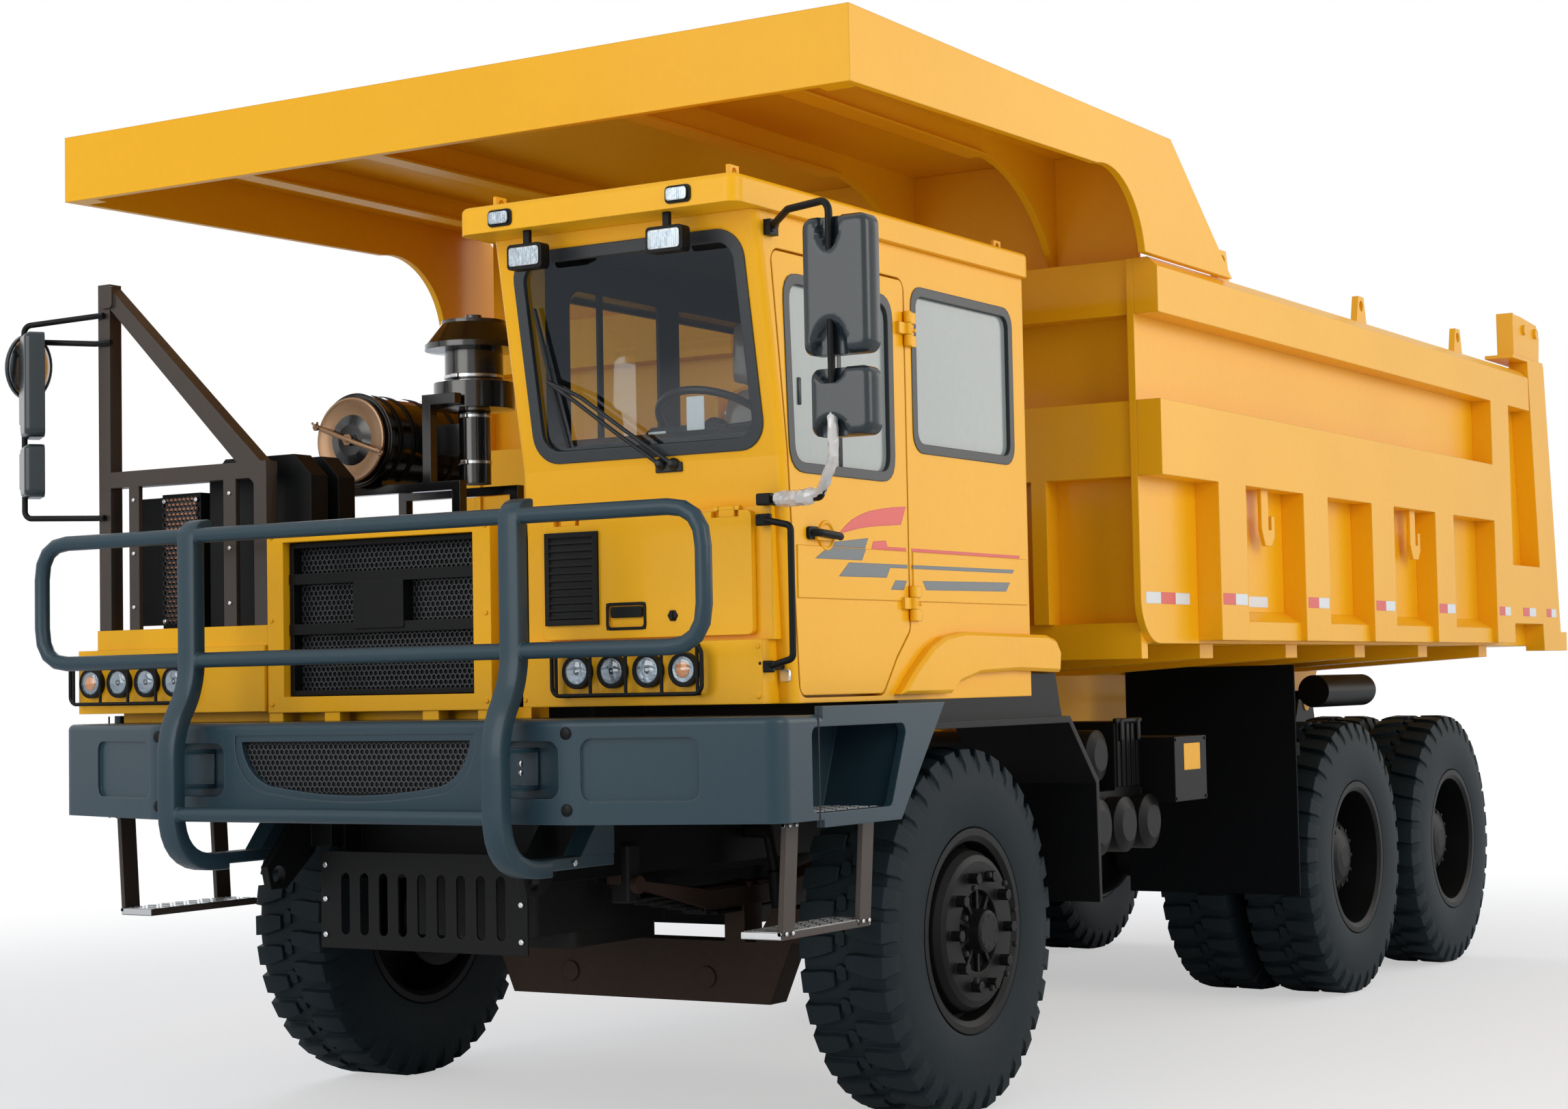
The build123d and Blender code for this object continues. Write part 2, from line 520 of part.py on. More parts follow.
with BuildPart() as cab_shell:
    slab_x([(CAB_FRONT_LOW, CAB_FLOOR), (CAB_FRONT_MID, CAB_MID_Z), (CAB_FRONT_TOP, CAB_TOP),
            (CAB_REAR, CAB_TOP), (CAB_REAR, CAB_FLOOR)], CAB_RIGHT, CAB_LEFT)
    uprights = cab_shell.edges().filter_by(lambda e: abs(e.tangent_at(0).X) < 0.5 and e.center().Y < -1250)
    fillet(uprights, CAB_CORNER)
    slab_x([(CAB_FRONT_LOW + CAB_WALL, CAB_FLOOR + 40), (CAB_FRONT_MID + CAB_WALL, CAB_MID_Z),
            (CAB_FRONT_TOP + CAB_WALL, CAB_TOP - 1), (CAB_REAR - CAB_WALL, CAB_TOP - 1),
            (CAB_REAR - CAB_WALL, CAB_FLOOR + 40)], CAB_RIGHT + CAB_WALL, CAB_LEFT - CAB_WALL,
           mode=Mode.SUBTRACT)
    block(CAB_LEFT - 1, CAB_LEFT + BAND, HINGE_Y + HINGE_RING + 10, CAB_REAR - 20, *BAND_Z)
    door_slab(MOVING_GAP, 40, CAB_LEFT - CAB_WALL - 1, CAB_LEFT + BAND + 1, mode=Mode.SUBTRACT)
    slab_x(REAR_SIDE_WINDOW, CAB_LEFT - CAB_WALL - 1, CAB_LEFT + 1, WINDOW_ROUND, mode=Mode.SUBTRACT)
    slab_x(RIGHT_WINDOW, CAB_RIGHT - 1, CAB_RIGHT + CAB_WALL + 1, WINDOW_ROUND, mode=Mode.SUBTRACT)
    slab_y(SCREEN, CAB_FRONT_TOP - 100, CAB_FRONT_MID + 160, SCREEN_ROUND, mode=Mode.SUBTRACT)
    slab_y(REAR_WINDOW, CAB_REAR - CAB_WALL - 1, CAB_REAR + 1, WINDOW_ROUND, mode=Mode.SUBTRACT)
    for z in HINGE_HEIGHTS:
        for z0, z1 in ((z - HINGE_HALF, z - HINGE_MID - 1), (z + HINGE_MID + 1, z + HINGE_HALF)):
            rod_z(HINGE_X, HINGE_Y, HINGE_RING, z0, z1)
            block(CAB_LEFT - 1, HINGE_X, HINGE_Y, HINGE_Y + 60, z0, z1)
        block(CAB_LEFT - 1, CAB_LEFT + 6, HINGE_Y + 20, HINGE_Y + 60, z - HINGE_HALF, z + HINGE_HALF)
        rod_z(HINGE_X, HINGE_Y, HINGE_PIN, z - HINGE_HALF, z + HINGE_HALF)
save(cab_shell.part, "cab_shell")

VISOR_Y = CAB_FRONT_TOP - 153
with BuildPart() as cab_roof:
    slab_z(rect(CAB_RIGHT - 30, CAB_LEFT + 25, VISOR_Y, CAB_REAR + 27), CAB_TOP, CAB_TOP + ROOF_THICK, 45)
    fillet(cab_roof.edges().group_by(Axis.Z)[-1], 20)
    for x, y in ((CAB_RIGHT + 60, VISOR_Y + 120), (CAB_LEFT - 60, VISOR_Y + 120), (CAB_LEFT - 60, CAB_REAR - 90)):
        slab_x(rect(y - 28, y + 28, CAB_TOP + ROOF_THICK - 1, CAB_TOP + ROOF_THICK + 44), x - 7, x + 7)
        rod_x(y, CAB_TOP + ROOF_THICK + 22, 13, x - 7, x + 7, mode=Mode.SUBTRACT)
save(cab_roof.part, "cab_roof")

# Fixed glazing of the cab
with BuildPart() as cab_glass:
    low, high = SCREEN[0][1] - 10, SCREEN[2][1] + 10
    slab_x([(cab_face(low) + GLASS_IN, low), (cab_face(low) + GLASS_IN + GLASS, low),
            (cab_face(high) + GLASS_IN + GLASS, high), (cab_face(high) + GLASS_IN, high)], 530, 1438)
    slab_y(SCREEN, CAB_FRONT_TOP - 100, CAB_FRONT_MID + 160, SCREEN_ROUND, mode=Mode.INTERSECT)
    slab_x(REAR_SIDE_WINDOW, CAB_LEFT - GLASS_IN - GLASS, CAB_LEFT - GLASS_IN, WINDOW_ROUND)
    slab_x(RIGHT_WINDOW, CAB_RIGHT + GLASS_IN, CAB_RIGHT + GLASS_IN + GLASS, WINDOW_ROUND)
    slab_y(REAR_WINDOW, CAB_REAR - GLASS_IN - GLASS, CAB_REAR - GLASS_IN, WINDOW_ROUND)
save(cab_glass.part, "cab_glass")

# Seat with its headrest, dashboard, steering column and steering wheel
FLOOR_Z = CAB_FLOOR + 40
SEAT_X = 995
WHEEL_Y = -975
WHEEL_Z = 2315
with BuildPart() as cab_interior:
    dash_top = 2290
    slab_x([(cab_face(FLOOR_Z) + CAB_WALL + 5, FLOOR_Z), (cab_face(dash_top) + CAB_WALL + 5, dash_top),
            (-1130, dash_top), (-1060, 2180), (-1140, 2050), (-1200, FLOOR_Z)], 520, 1420)
    slab_x([(-560, FLOOR_Z), (-560, 1880), (-600, 1900), (-600, 2010), (-120, 1990), (-60, 2560),
            (60, 2560), (0, 1880), (0, FLOOR_Z)], SEAT_X - 235, SEAT_X + 235)
    slab_x([(-50, 2559), (40, 2559), (70, 2740), (-20, 2740)], SEAT_X - 130, SEAT_X + 130)
    pipe([(SEAT_X, -1120, 2170), (SEAT_X, WHEEL_Y - 3, WHEEL_Z - 3)], 30, 0)
    with Locations(Plane(origin=(SEAT_X, WHEEL_Y, WHEEL_Z), z_dir=(0, 1, 1))):
        Torus(210, 16)
        Box(400, 30, 20)
save(cab_interior.part, "cab_interior")

# Door on the truck's left, hinged at its rear edge
with BuildPart() as cab_door:
    door_slab(0, 32, CAB_LEFT - CAB_WALL, CAB_LEFT)
    block(CAB_LEFT - 1, CAB_LEFT + BAND, -1285, DOOR_REAR - 10, *BAND_Z)
    slab_x(DOOR_WINDOW, CAB_LEFT - CAB_WALL - 1, CAB_LEFT + 1, corner=70, mode=Mode.SUBTRACT)
    slab_x(rect(-1190, -1090, 2032, 2068), CAB_LEFT - 1, CAB_LEFT + 22, corner=12)
    for z in HINGE_HEIGHTS:
        rod_z(HINGE_X, HINGE_Y, HINGE_RING, z - HINGE_MID, z + HINGE_MID)
        block(CAB_LEFT - 1, HINGE_X, HINGE_Y - 60, HINGE_Y, z - HINGE_MID, z + HINGE_MID)
        rod_z(HINGE_X, HINGE_Y, HINGE_PIN + RUNNING, z - HINGE_MID, z + HINGE_MID, mode=Mode.SUBTRACT)
save(cab_door.part, "cab_door")

with BuildPart() as door_glass:
    slab_x(DOOR_WINDOW, CAB_LEFT - GLASS_IN - GLASS, CAB_LEFT - GLASS_IN, corner=70)
save(door_glass.part, "door_glass")

# Front of the cab: hinged service hatch with its louvred vent, and the lamp box under it
HATCH_X = (568, 1400)
HATCH_Z = (1728, 2128)
HATCH_THICK = 25
HATCH_SEAT = FACE_Y + 8
HATCH_Y = HATCH_SEAT - CURVED_GAP
HATCH_PIN = 4
HATCH_RING = 8
HATCH_AXIS_Y = HATCH_SEAT - 10
HATCH_AXIS_Z = HATCH_Z[1] + 8
HATCH_HINGES = ((640, 700), (1270, 1330))
LUG = 18
BOX_FRONT = FACE_Y - 30
LAMP_Z = 1620
with BuildPart() as service_hatch:
    slab_y(rect(*HATCH_X, *HATCH_Z), HATCH_Y - HATCH_THICK, HATCH_Y, corner=20)
    slab_y(rect(835, 981, 1762, 1839), HATCH_Y - HATCH_THICK - 1, HATCH_Y - HATCH_THICK + 10, corner=12,
           mode=Mode.SUBTRACT)
    for x0, x1 in HATCH_HINGES:
        block(x0 - LUG - 4, x1 + LUG + 4, HATCH_Y - HATCH_THICK - 1, HATCH_Y + 1, HATCH_Z[1] - 20,
              HATCH_Z[1] + 1, mode=Mode.SUBTRACT)
        rod_x(HATCH_AXIS_Y, HATCH_AXIS_Z, HATCH_RING, x0, x1)
        block(x0, x1, HATCH_AXIS_Y - 6, HATCH_AXIS_Y + 6, HATCH_Z[1] - 30, HATCH_AXIS_Z)
        rod_x(HATCH_AXIS_Y, HATCH_AXIS_Z, HATCH_PIN + RUNNING, x0, x1, mode=Mode.SUBTRACT)
save(service_hatch.part, "service_hatch")

VENT_X = (585, 800)
VENT_Z = (1776, 2086)
VENT_SLATS = 11
with BuildPart() as hatch_vent:
    seat = HATCH_Y - HATCH_THICK
    slab_y(rect(*VENT_X, *VENT_Z), seat - 12, seat)
    slab_y(rect(VENT_X[0] + 18, VENT_X[1] - 18, VENT_Z[0] + 18, VENT_Z[1] - 18), seat - 13, seat - 4,
           mode=Mode.SUBTRACT)
    pitch = (VENT_Z[1] - VENT_Z[0] - 36) / VENT_SLATS
    for row in range(VENT_SLATS):
        z = VENT_Z[0] + 18 + row * pitch
        slab_x([(seat - 3, z + 2), (seat - 11, z + 4), (seat - 3, z + pitch - 4)], VENT_X[0] + 17, VENT_X[1] - 17)
save(hatch_vent.part, "hatch_vent")

RIGHT_BOX = (-1602, -669)
RIGHT_BOX_TOP = 1742
DECK_REAR = -560
with BuildPart() as lamp_boxes:
    slab_x([(cab_face(1506), 1506), (BOX_FRONT, 1506), (BOX_FRONT, 1712), (cab_face(1712), 1712)], 490, 1440)
    slab_x([(cab_face(1711), 1711), (HATCH_SEAT, 1711), (HATCH_SEAT, 2140), (cab_face(2140), 2140)], 490, 1460)
    for x0, x1 in HATCH_HINGES:
        for a0, a1 in ((x0 - LUG - 2, x0 - 2), (x1 + 2, x1 + LUG + 2)):
            block(a0, a1, HATCH_AXIS_Y - 8, HATCH_SEAT, HATCH_AXIS_Z - 7, HATCH_AXIS_Z + 8)
        rod_x(HATCH_AXIS_Y, HATCH_AXIS_Z, HATCH_PIN, x0 - LUG, x1 + LUG)
    block(*RIGHT_BOX, BOX_FRONT, -1150, CAB_FLOOR, RIGHT_BOX_TOP)
    block(-1512, -661, FACE_Y - 20, DECK_REAR, RIGHT_BOX_TOP, DECK_TOP)
    block(-1480, 440, -1300, -1200, BUMPER_TOP, CAB_FLOOR + 1)
save(lamp_boxes.part, "lamp_boxes")

LAMP_ROWS = ((725, 1150), (-1520, -1095))
LAMPS_PER_ROW = 4
LAMP_LENS = 44
LAMP_RING = 56
WORK_LAMPS = (681, 1235)
WORK_LAMP_Z = 2987
WORK_LAMP_Y = VISOR_Y + 40
MARKERS = (607, 1312)
MARKER_Z = CAB_TOP + 42


def lamp_stations():
    """Centres of the lamps of both rows."""
    return [first + (last - first) * row / (LAMPS_PER_ROW - 1) for first, last in LAMP_ROWS
            for row in range(LAMPS_PER_ROW)]


with BuildPart() as head_lamps:
    for x in lamp_stations():
        rod_y(x, LAMP_Z, LAMP_LENS, BOX_FRONT - 18, BOX_FRONT)
        with Locations(Location((x, BOX_FRONT - 18, LAMP_Z), (90, 0, 0))):
            Cone(LAMP_LENS, LAMP_LENS - 16, 12)
    for x in WORK_LAMPS:
        slab_y(rect(x - 58, x + 58, WORK_LAMP_Z - 30, WORK_LAMP_Z + 30), WORK_LAMP_Y - 32, WORK_LAMP_Y - 12, 12)
    for x in MARKERS:
        slab_y(rect(x - 38, x + 38, MARKER_Z - 20, MARKER_Z + 20), VISOR_Y - 22, VISOR_Y - 6, 12)
save(head_lamps.part, "head_lamps")

GUARD_WIRE = 7
with BuildPart() as lamp_guards:
    for x in lamp_stations():
        rod_y(x, LAMP_Z, LAMP_RING, BOX_FRONT - 24, BOX_FRONT)
        rod_y(x, LAMP_Z, LAMP_LENS + CURVED_GAP, BOX_FRONT - 25, BOX_FRONT, mode=Mode.SUBTRACT)
    for first, last in LAMP_ROWS:
        front = BOX_FRONT - 40
        pipe([(first - 85, front, LAMP_Z + 78), (last + 85, front, LAMP_Z + 78),
              (last + 85, front, LAMP_Z - 78), (first - 85, front, LAMP_Z - 78)], GUARD_WIRE, 30, closed=True)
        step = (last - first) / (LAMPS_PER_ROW - 1)
        for x in (first - 68, first + step / 2, first + 3 * step / 2, last - step / 2, last + 68):
            rod_z(x, front, GUARD_WIRE - 1, LAMP_Z - 78, LAMP_Z + 78)
        for x in (first - 50, last + 50):
            for z in (LAMP_Z - 78, LAMP_Z + 78):
                rod_y(x, z, GUARD_WIRE - 1, front, BOX_FRONT)
    for x in WORK_LAMPS:
        slab_y(rect(x - 70, x + 70, WORK_LAMP_Z - 42, WORK_LAMP_Z + 42), WORK_LAMP_Y - 12, WORK_LAMP_Y + 34, 14)
        block(x - 12, x + 12, WORK_LAMP_Y, WORK_LAMP_Y + 16, WORK_LAMP_Z + 41, CAB_TOP)
    for x in MARKERS:
        slab_y(rect(x - 48, x + 48, MARKER_Z - 28, MARKER_Z + 28), VISOR_Y - 6, VISOR_Y, 16)
save(lamp_guards.part, "lamp_guards")

# Grille: a yellow frame on legs, and behind it the dark mesh with two bars and a blank plate
GRILLE_X = (-661, 350)
GRILLE_Z = (1500, 2150)
GRILLE_SIDE = 76
GRILLE_RAIL = 42
GRILLE_LEGS = ((-661, -596), (-400, -330), (44, 114), (285, 350))
with BuildPart() as grille_frame:
    slab_y(rect(*GRILLE_X, *GRILLE_Z), FACE_Y - 20, FACE_Y + 60)
    slab_y(rect(GRILLE_X[0] + GRILLE_SIDE, GRILLE_X[1] - GRILLE_SIDE, GRILLE_Z[0] + GRILLE_RAIL + 14,
                GRILLE_Z[1] - GRILLE_RAIL), FACE_Y - 21, FACE_Y + 61, mode=Mode.SUBTRACT)
    for x0, x1 in GRILLE_LEGS:
        block(x0, x1, FACE_Y - 15, FACE_Y + 40, BUMPER_TOP, GRILLE_Z[0] + 1)
save(grille_frame.part, "grille_frame")

GRILLE_BARS = (1795, 1975)
BAR_TALL = 38
with BuildPart() as grille_mesh:
    slab_y(rect(GRILLE_X[0] + 40, GRILLE_X[1] - 40, GRILLE_Z[0] + 30, GRILLE_Z[1] - 30), FACE_Y + 60,
           FACE_Y + 68)
    x0 = GRILLE_X[0] + GRILLE_SIDE + 3
    x1 = GRILLE_X[1] - GRILLE_SIDE - 3
    z0 = GRILLE_Z[0] + GRILLE_RAIL + 17
    z1 = GRILLE_Z[1] - GRILLE_RAIL - 3
    for z in GRILLE_BARS:
        slab_y(rect(x0, x1, z - BAR_TALL / 2, z + BAR_TALL / 2), FACE_Y + 8, FACE_Y + 61)
    for a0, a1, b0, b1 in ((x0, x1, z0, z0 + 18), (x0, x1, z1 - 18, z1), (x0, x0 + 18, z0, z1),
                           (x1 - 18, x1, z0, z1)):
        slab_y(rect(a0, a1, b0, b1), FACE_Y + 12, FACE_Y + 61)
    slab_y(rect(-277, -52, 1791, 1957), FACE_Y + 2, FACE_Y + 61, corner=8)
save(grille_mesh.part, "grille_mesh")

# Steel frame on the truck's right that carries the mirrors there
POST_X = -1500
POST = 60
POST_TOP = 3123
FRAME_Y = FACE_Y - 20
with BuildPart() as mirror_frame:
    block(POST_X, POST_X + POST, FRAME_Y, FRAME_Y + POST, DECK_TOP, POST_TOP)
    slab_y([(POST_X + POST - 1, POST_TOP - 13), (POST_X + POST - 1, POST_TOP - 93), (-722, 2330), (-662, 2330),
            (-662, 2385)], FRAME_Y, FRAME_Y + POST)
    slab_y(rect(POST_X + POST - 1, -662, 2350, 2410), FRAME_Y, FRAME_Y + POST)
    block(-722, -662, FRAME_Y, FRAME_Y + POST, DECK_TOP, 2351)
    block(-870, -810, FRAME_Y, FRAME_Y + 20, DECK_TOP, 2351)
    block(-1345, -1295, FRAME_Y, FRAME_Y + 20, DECK_TOP, 2351)
    slab_y(rect(POST_X + 22, POST_X + 82, 3030, 3115), FRAME_Y - 12, FRAME_Y, corner=16)
save(mirror_frame.part, "mirror_frame")

# Mirror arms and heads, one set on the frame post and one on the cab
ARM = 11
RIGHT_ARM = (-1800, -1490)
LEFT_ARM = (1829, -1600)
ARM_SEAT = FRAME_Y - ARM - CURVED_GAP
with BuildPart() as mirror_arms:
    pipe([(POST_X + 40, ARM_SEAT, 3005), (POST_X, ARM_SEAT, 3005), (*RIGHT_ARM, 2985),
          (*RIGHT_ARM, 2250), (POST_X, ARM_SEAT, 2240), (POST_X + 40, ARM_SEAT, 2240)], ARM, 30)
    pipe([(POST_X + 80, ARM_SEAT, 2900), (POST_X, ARM_SEAT, 2900), (RIGHT_ARM[0], RIGHT_ARM[1], 2925)], ARM, 30)
    pipe([(CAB_LEFT + 12, -1425, 3020), (1640, -1530, 3050), (*LEFT_ARM, 3050), (*LEFT_ARM, 2250),
          (1720, -1500, 2145), (CAB_LEFT - 52, -1378, 2156)], ARM + 1, 40)
    block(CAB_LEFT, CAB_LEFT + 25, -1450, -1400, 2995, 3045)
    slab_x([(cab_face(2140), 2140), (-1394, 2140), (-1394, 2174), (cab_face(2174), 2174)],
           CAB_LEFT - 70, CAB_LEFT - 34)
save(mirror_arms.part, "mirror_arms")

# Mirror heads as (x0, x1, z0, z1) of housings behind the arms' tubes
RIGHT_HEADS = ((-1812, -1640, 2545, 2869), (-1812, -1650, 2350, 2500))
LEFT_HEADS = ((1732, 1970, 2572, 2999), (1754, 1970, 2320, 2531))
HEAD_DEEP = 76
with BuildPart() as mirrors:
    rod_y(-1859, 2858, 97, RIGHT_ARM[1] - 62, RIGHT_ARM[1] - 14)
    for x0, x1, z0, z1 in RIGHT_HEADS:
        slab_y(rect(x0, x1, z0, z1), RIGHT_ARM[1] - 14, RIGHT_ARM[1] + HEAD_DEEP - 16, corner=26)
    for x0, x1, z0, z1 in LEFT_HEADS:
        slab_y(rect(x0, x1, z0, z1), LEFT_ARM[1] - 16, LEFT_ARM[1] + HEAD_DEEP - 16, corner=32)
    faces = mirrors.faces().filter_by(lambda f: abs(f.normal_at().Y + 1) < 0.01 and f.center().X > 0)
    chamfer(faces.edges(), 14)
    rod_z(*RIGHT_ARM, ARM + CURVED_GAP, 2200, 3000, mode=Mode.SUBTRACT)
    rod_z(*LEFT_ARM, ARM + 1 + CURVED_GAP, 2200, 3010, mode=Mode.SUBTRACT)
save(mirrors.part, "mirrors")

# Grab rail that stands off the cab's front corner beside the door
RAIL_TUBE = 11
GRAB_Y = FACE_Y - 20
GRAB_X = CAB_LEFT + 49
GRAB_Z = (1624, 2092)
with BuildPart() as grab_rail:
    pipe([(GRAB_X - 102, HATCH_SEAT, GRAB_Z[1]), (GRAB_X - 102, GRAB_Y, GRAB_Z[1]),
          (GRAB_X, GRAB_Y, GRAB_Z[1] - 22), (GRAB_X, GRAB_Y, GRAB_Z[0] + 24), (GRAB_X - 93, GRAB_Y, GRAB_Z[0]),
          (GRAB_X - 93, cab_face(GRAB_Z[0]) - 1, GRAB_Z[0])], RAIL_TUBE, 20)
save(grab_rail.part, "grab_rail")

# Air cleaner: a drum with a dished cover on a square-tube stand, and the upright pre-cleaner
DRUM_X = -850
DRUM_Z = 2541
DRUM = 178
DRUM_FRONT = -700
PRE_X = -470
PRE_Y = -430
STAND_X = (-980, -380)
STAND_Y = (-640, -280)
STAND_TUBE = 40
STAND_Z = 2330
PLATE_TOP = 1760
with BuildPart() as air_cleaner:
    rod_y(DRUM_X, DRUM_Z, DRUM, DRUM_FRONT, -180)
    rod_y(DRUM_X, DRUM_Z, DRUM + 6, DRUM_FRONT + 10, DRUM_FRONT + 24)
    with Locations(Location((DRUM_X, DRUM_FRONT - 10, DRUM_Z), (90, 0, 0))):
        Cone(DRUM - 8, 60, 22)
    rod_y(DRUM_X, DRUM_Z, 22, DRUM_FRONT - 36, DRUM_FRONT)
    for y in STAND_Y:
        block(*STAND_X, y, y + STAND_TUBE, STAND_Z, STAND_Z + 35)
        for x in (STAND_X[0], STAND_X[1] - STAND_TUBE):
            block(x, x + STAND_TUBE, y, y + STAND_TUBE, DECK_TOP, STAND_Z + 1)
    block(DRUM_X - 90, DRUM_X + 90, STAND_Y[0], -240, STAND_Z + 34, STAND_Z + 70)
    block(-560, -520, STAND_Y[0], STAND_Y[0] + STAND_TUBE, STAND_Z + 34, 2700)
    block(-560, -400, STAND_Y[0], STAND_Y[0] + STAND_TUBE, 2660, 2700)
    spun([(0, STAND_Z + 34), (62, STAND_Z + 34), (62, 2640), (157, 2652), (157, 2755), (113, 2768), (113, 2878),
          (189, 2884), (189, 2906), (125, 2985), (125, 2998), (32, 2998), (32, 3022), (0, 3022)], PRE_X, PRE_Y)
    block(DRUM_X, PRE_X, -480, -380, 2480, 2600)
    for y, foot in ((STAND_Y[0], DECK_TOP), (STAND_Y[1], PLATE_TOP)):
        block(-980, -290, y, y + 40, DECK_TOP, DECK_TOP + 34)
        block(-980, -940, y, y + 40, foot, DECK_TOP + 34)
        block(-330, -290, y, y + 40, ENGINE_TOP, DECK_TOP + 34)
save(air_cleaner.part, "air_cleaner")

# Front mudguards in black: shelf, inner arch and rear flap; the yellow flares cover them outside
ARCH_IN = 1030
ARCH_OUT = BUMPER_HALF - 40
SHELF_Z = 1424
FLARE_IN = BUMPER_HALF - 70
with BuildPart() as mudguards:
    for x0, x1 in both(ARCH_IN, ARCH_OUT):
        slab_x([(-640, SHELF_Z - 24), (640, SHELF_Z - 24), (870, 1160), (880, 700), (900, 700), (895, 1170),
                (650, SHELF_Z + 1), (-640, SHELF_Z + 1)], x0, x1)
    block(CAB_RIGHT - 5, CAB_LEFT - 55, -640, 620, SHELF_Z, CAB_FLOOR)
    block(CAB_LEFT - 56, FLARE_IN, -640, CAB_REAR, SHELF_Z, CAB_FLOOR)
    slab_x([(CAB_REAR, SHELF_Z), (640, SHELF_Z), (590, 1590), (CAB_REAR, 1590)], CAB_LEFT - 56, FLARE_IN)
    slab_x([(-560, SHELF_Z), (640, SHELF_Z), (590, 1590), (540, RIGHT_BOX_TOP - 1), (-560, RIGHT_BOX_TOP - 1)],
           -FLARE_IN, -FLARE_IN + 60)
    block(-FLARE_IN, -669, DECK_REAR, 400, RIGHT_BOX_TOP - 1, PLATE_TOP)
    for x0, x1 in both(RAIL_X, ARCH_IN + 10):
        block(x0, x1, -640, 620, SHELF_Z - 24, SHELF_Z + 1)
    for x0, x1 in both(RAIL_X - 40, 560):
        for station in (-580, 480):
            block(x0, x1, station, station + 60, RAIL_TOP, SHELF_Z - 23)
save(mudguards.part, "mudguards")

FLARE_OUT = BUMPER_HALF - 32
FLARE = [(-299, 1524), (-238, 1562), (-86, 1592), (227, 1601), (571, 1592), (580, 1670), (540, 1716),
         (464, 1732), (-199, 1740), (-340, 1722), (-440, 1686), (-563, 1607), (-667, 1524)]
with BuildPart() as wheel_flares:
    for x0, x1 in both(FLARE_IN, FLARE_OUT):
        slab_x(FLARE, x0, x1)
    slab_x([(CAB_REAR, 1601), (571, 1592), (580, 1670), (540, 1716), (464, 1732), (CAB_REAR, 1734)],
           CAB_LEFT - 300, FLARE_IN + 1)
    for outer in (wheel_flares.faces().sort_by(Axis.X)[-1], wheel_flares.faces().sort_by(Axis.X)[0]):
        chamfer(outer.edges(), 12)
save(wheel_flares.part, "wheel_flares")

# Air tanks, battery box and control box on a shelf between the axles, and the fuel tank on the right
SHELF_TOP = 1095
TANK = 115
BOX_X = 1400
CYLINDER_X = 1250
CYLINDER_Z = 1480
with BuildPart() as side_tanks:
    for station in (1369, 1617, 1866):
        rod_x(station, 958, TANK, RAIL_X + 60, 1310)
        with Locations(Location((1320, station, 958), (0, 90, 0))):
            Cone(TANK, 70, 20)
    rod_x(1418, 1248, 106, RAIL_X + 60, 1280)
    with Locations(Location((1290, 1418, 1248), (0, 90, 0))):
        Cone(106, 64, 20)
    for station in (1418, 1800, 2110):
        block(RAIL_X, 1240, station - 30, station + 30, 1060, SHELF_TOP + 50)
    block(RAIL_X + 60, 1240, 1300, 2280, 1060, SHELF_TOP)
    block(RAIL_X + 60, 1240, 1679, 1930, SHELF_TOP - 1, 1382)
    for row in range(5):
        block(1239, 1250, 1690 + row * 48, 1714 + row * 48, 1110, 1372)
    block(RAIL_X + 60, BOX_X, 1940, 2280, 1035, 1310)
    slab_x(rect(1000, 2300, 690, 1330), -1420, -RAIL_X - 60, corner=90)
    for station in (1200, 2000):
        block(-900, -RAIL_X, station - 30, station + 30, 1150, 1210)
    for station in (1180, 2120):
        slab_x(rect(station - 20, station + 20, 680, 1340), -1426, -RAIL_X - 60, corner=6)
    rod_y(CYLINDER_X, CYLINDER_Z, 80, WHEELBASE - 53, WHEELBASE + 639)
    for station in (WHEELBASE + 60, WHEELBASE + 520):
        block(RAIL_X, RAIL_X + 40, station - 25, station + 25, RAIL_TOP - 100, CYLINDER_Z)
        block(RAIL_X, CYLINDER_X, station - 25, station + 25, CYLINDER_Z - 40, CYLINDER_Z)
save(side_tanks.part, "side_tanks")

FLAP_Y = WHEELBASE - 900
FLAP_OUT = BUMPER_HALF - 100
with BuildPart() as mudflaps:
    for x0, x1 in both(620, FLAP_OUT):
        block(x0, x1, FLAP_Y, FLAP_Y + 12, 547, 1610)
    for x0, x1 in both(RAIL_X, FLAP_OUT):
        block(x0, x1, FLAP_Y + 12, FLAP_Y + 52, 1190, 1250)
save(mudflaps.part, "mudflaps")

# Steering knuckles: a yoke round the kingpin, a backing plate, the wheel's spindle and the steering arm
SPINDLE_RADIUS = 45
YOKE_GAP = 3
YOKE_OUT = KINGPIN_X + 120
ARM_Y = 200
ARM_LOW = 555
ARM_HIGH = 590
ARM_PIN = 16
ROD_Z = 534
with BuildPart() as knuckle_left:
    for z0, z1 in ((BEAM_TOP - 50, BEAM_TOP - YOKE_GAP), (BEAM_EYE_TOP + YOKE_GAP, BEAM_EYE_TOP + 50)):
        slab_z(rect(KINGPIN_X - 60, YOKE_OUT, -60, 60), z0, z1, corner=25)
    block(YOKE_OUT - 45, YOKE_OUT, -60, 60, BEAM_TOP - 49, BEAM_EYE_TOP + 49)
    rod_x(0, TYRE_RADIUS, 215, YOKE_OUT - 1, YOKE_OUT + 12)
    rod_x(0, TYRE_RADIUS, SPINDLE_RADIUS, YOKE_OUT, FRONT_TYRE_X + 110)
    block(KINGPIN_X - 30, KINGPIN_X + 30, 40, ARM_Y + 30, ARM_LOW, ARM_HIGH)
    rod_z(KINGPIN_X, ARM_Y, ARM_PIN, ROD_Z - 22, ARM_LOW + 1)
    rod_z(KINGPIN_X, 0, KINGPIN + RUNNING, BEAM_TOP - 70, BEAM_EYE_TOP + 70, mode=Mode.SUBTRACT)
save(knuckle_left.part, "knuckle_left")
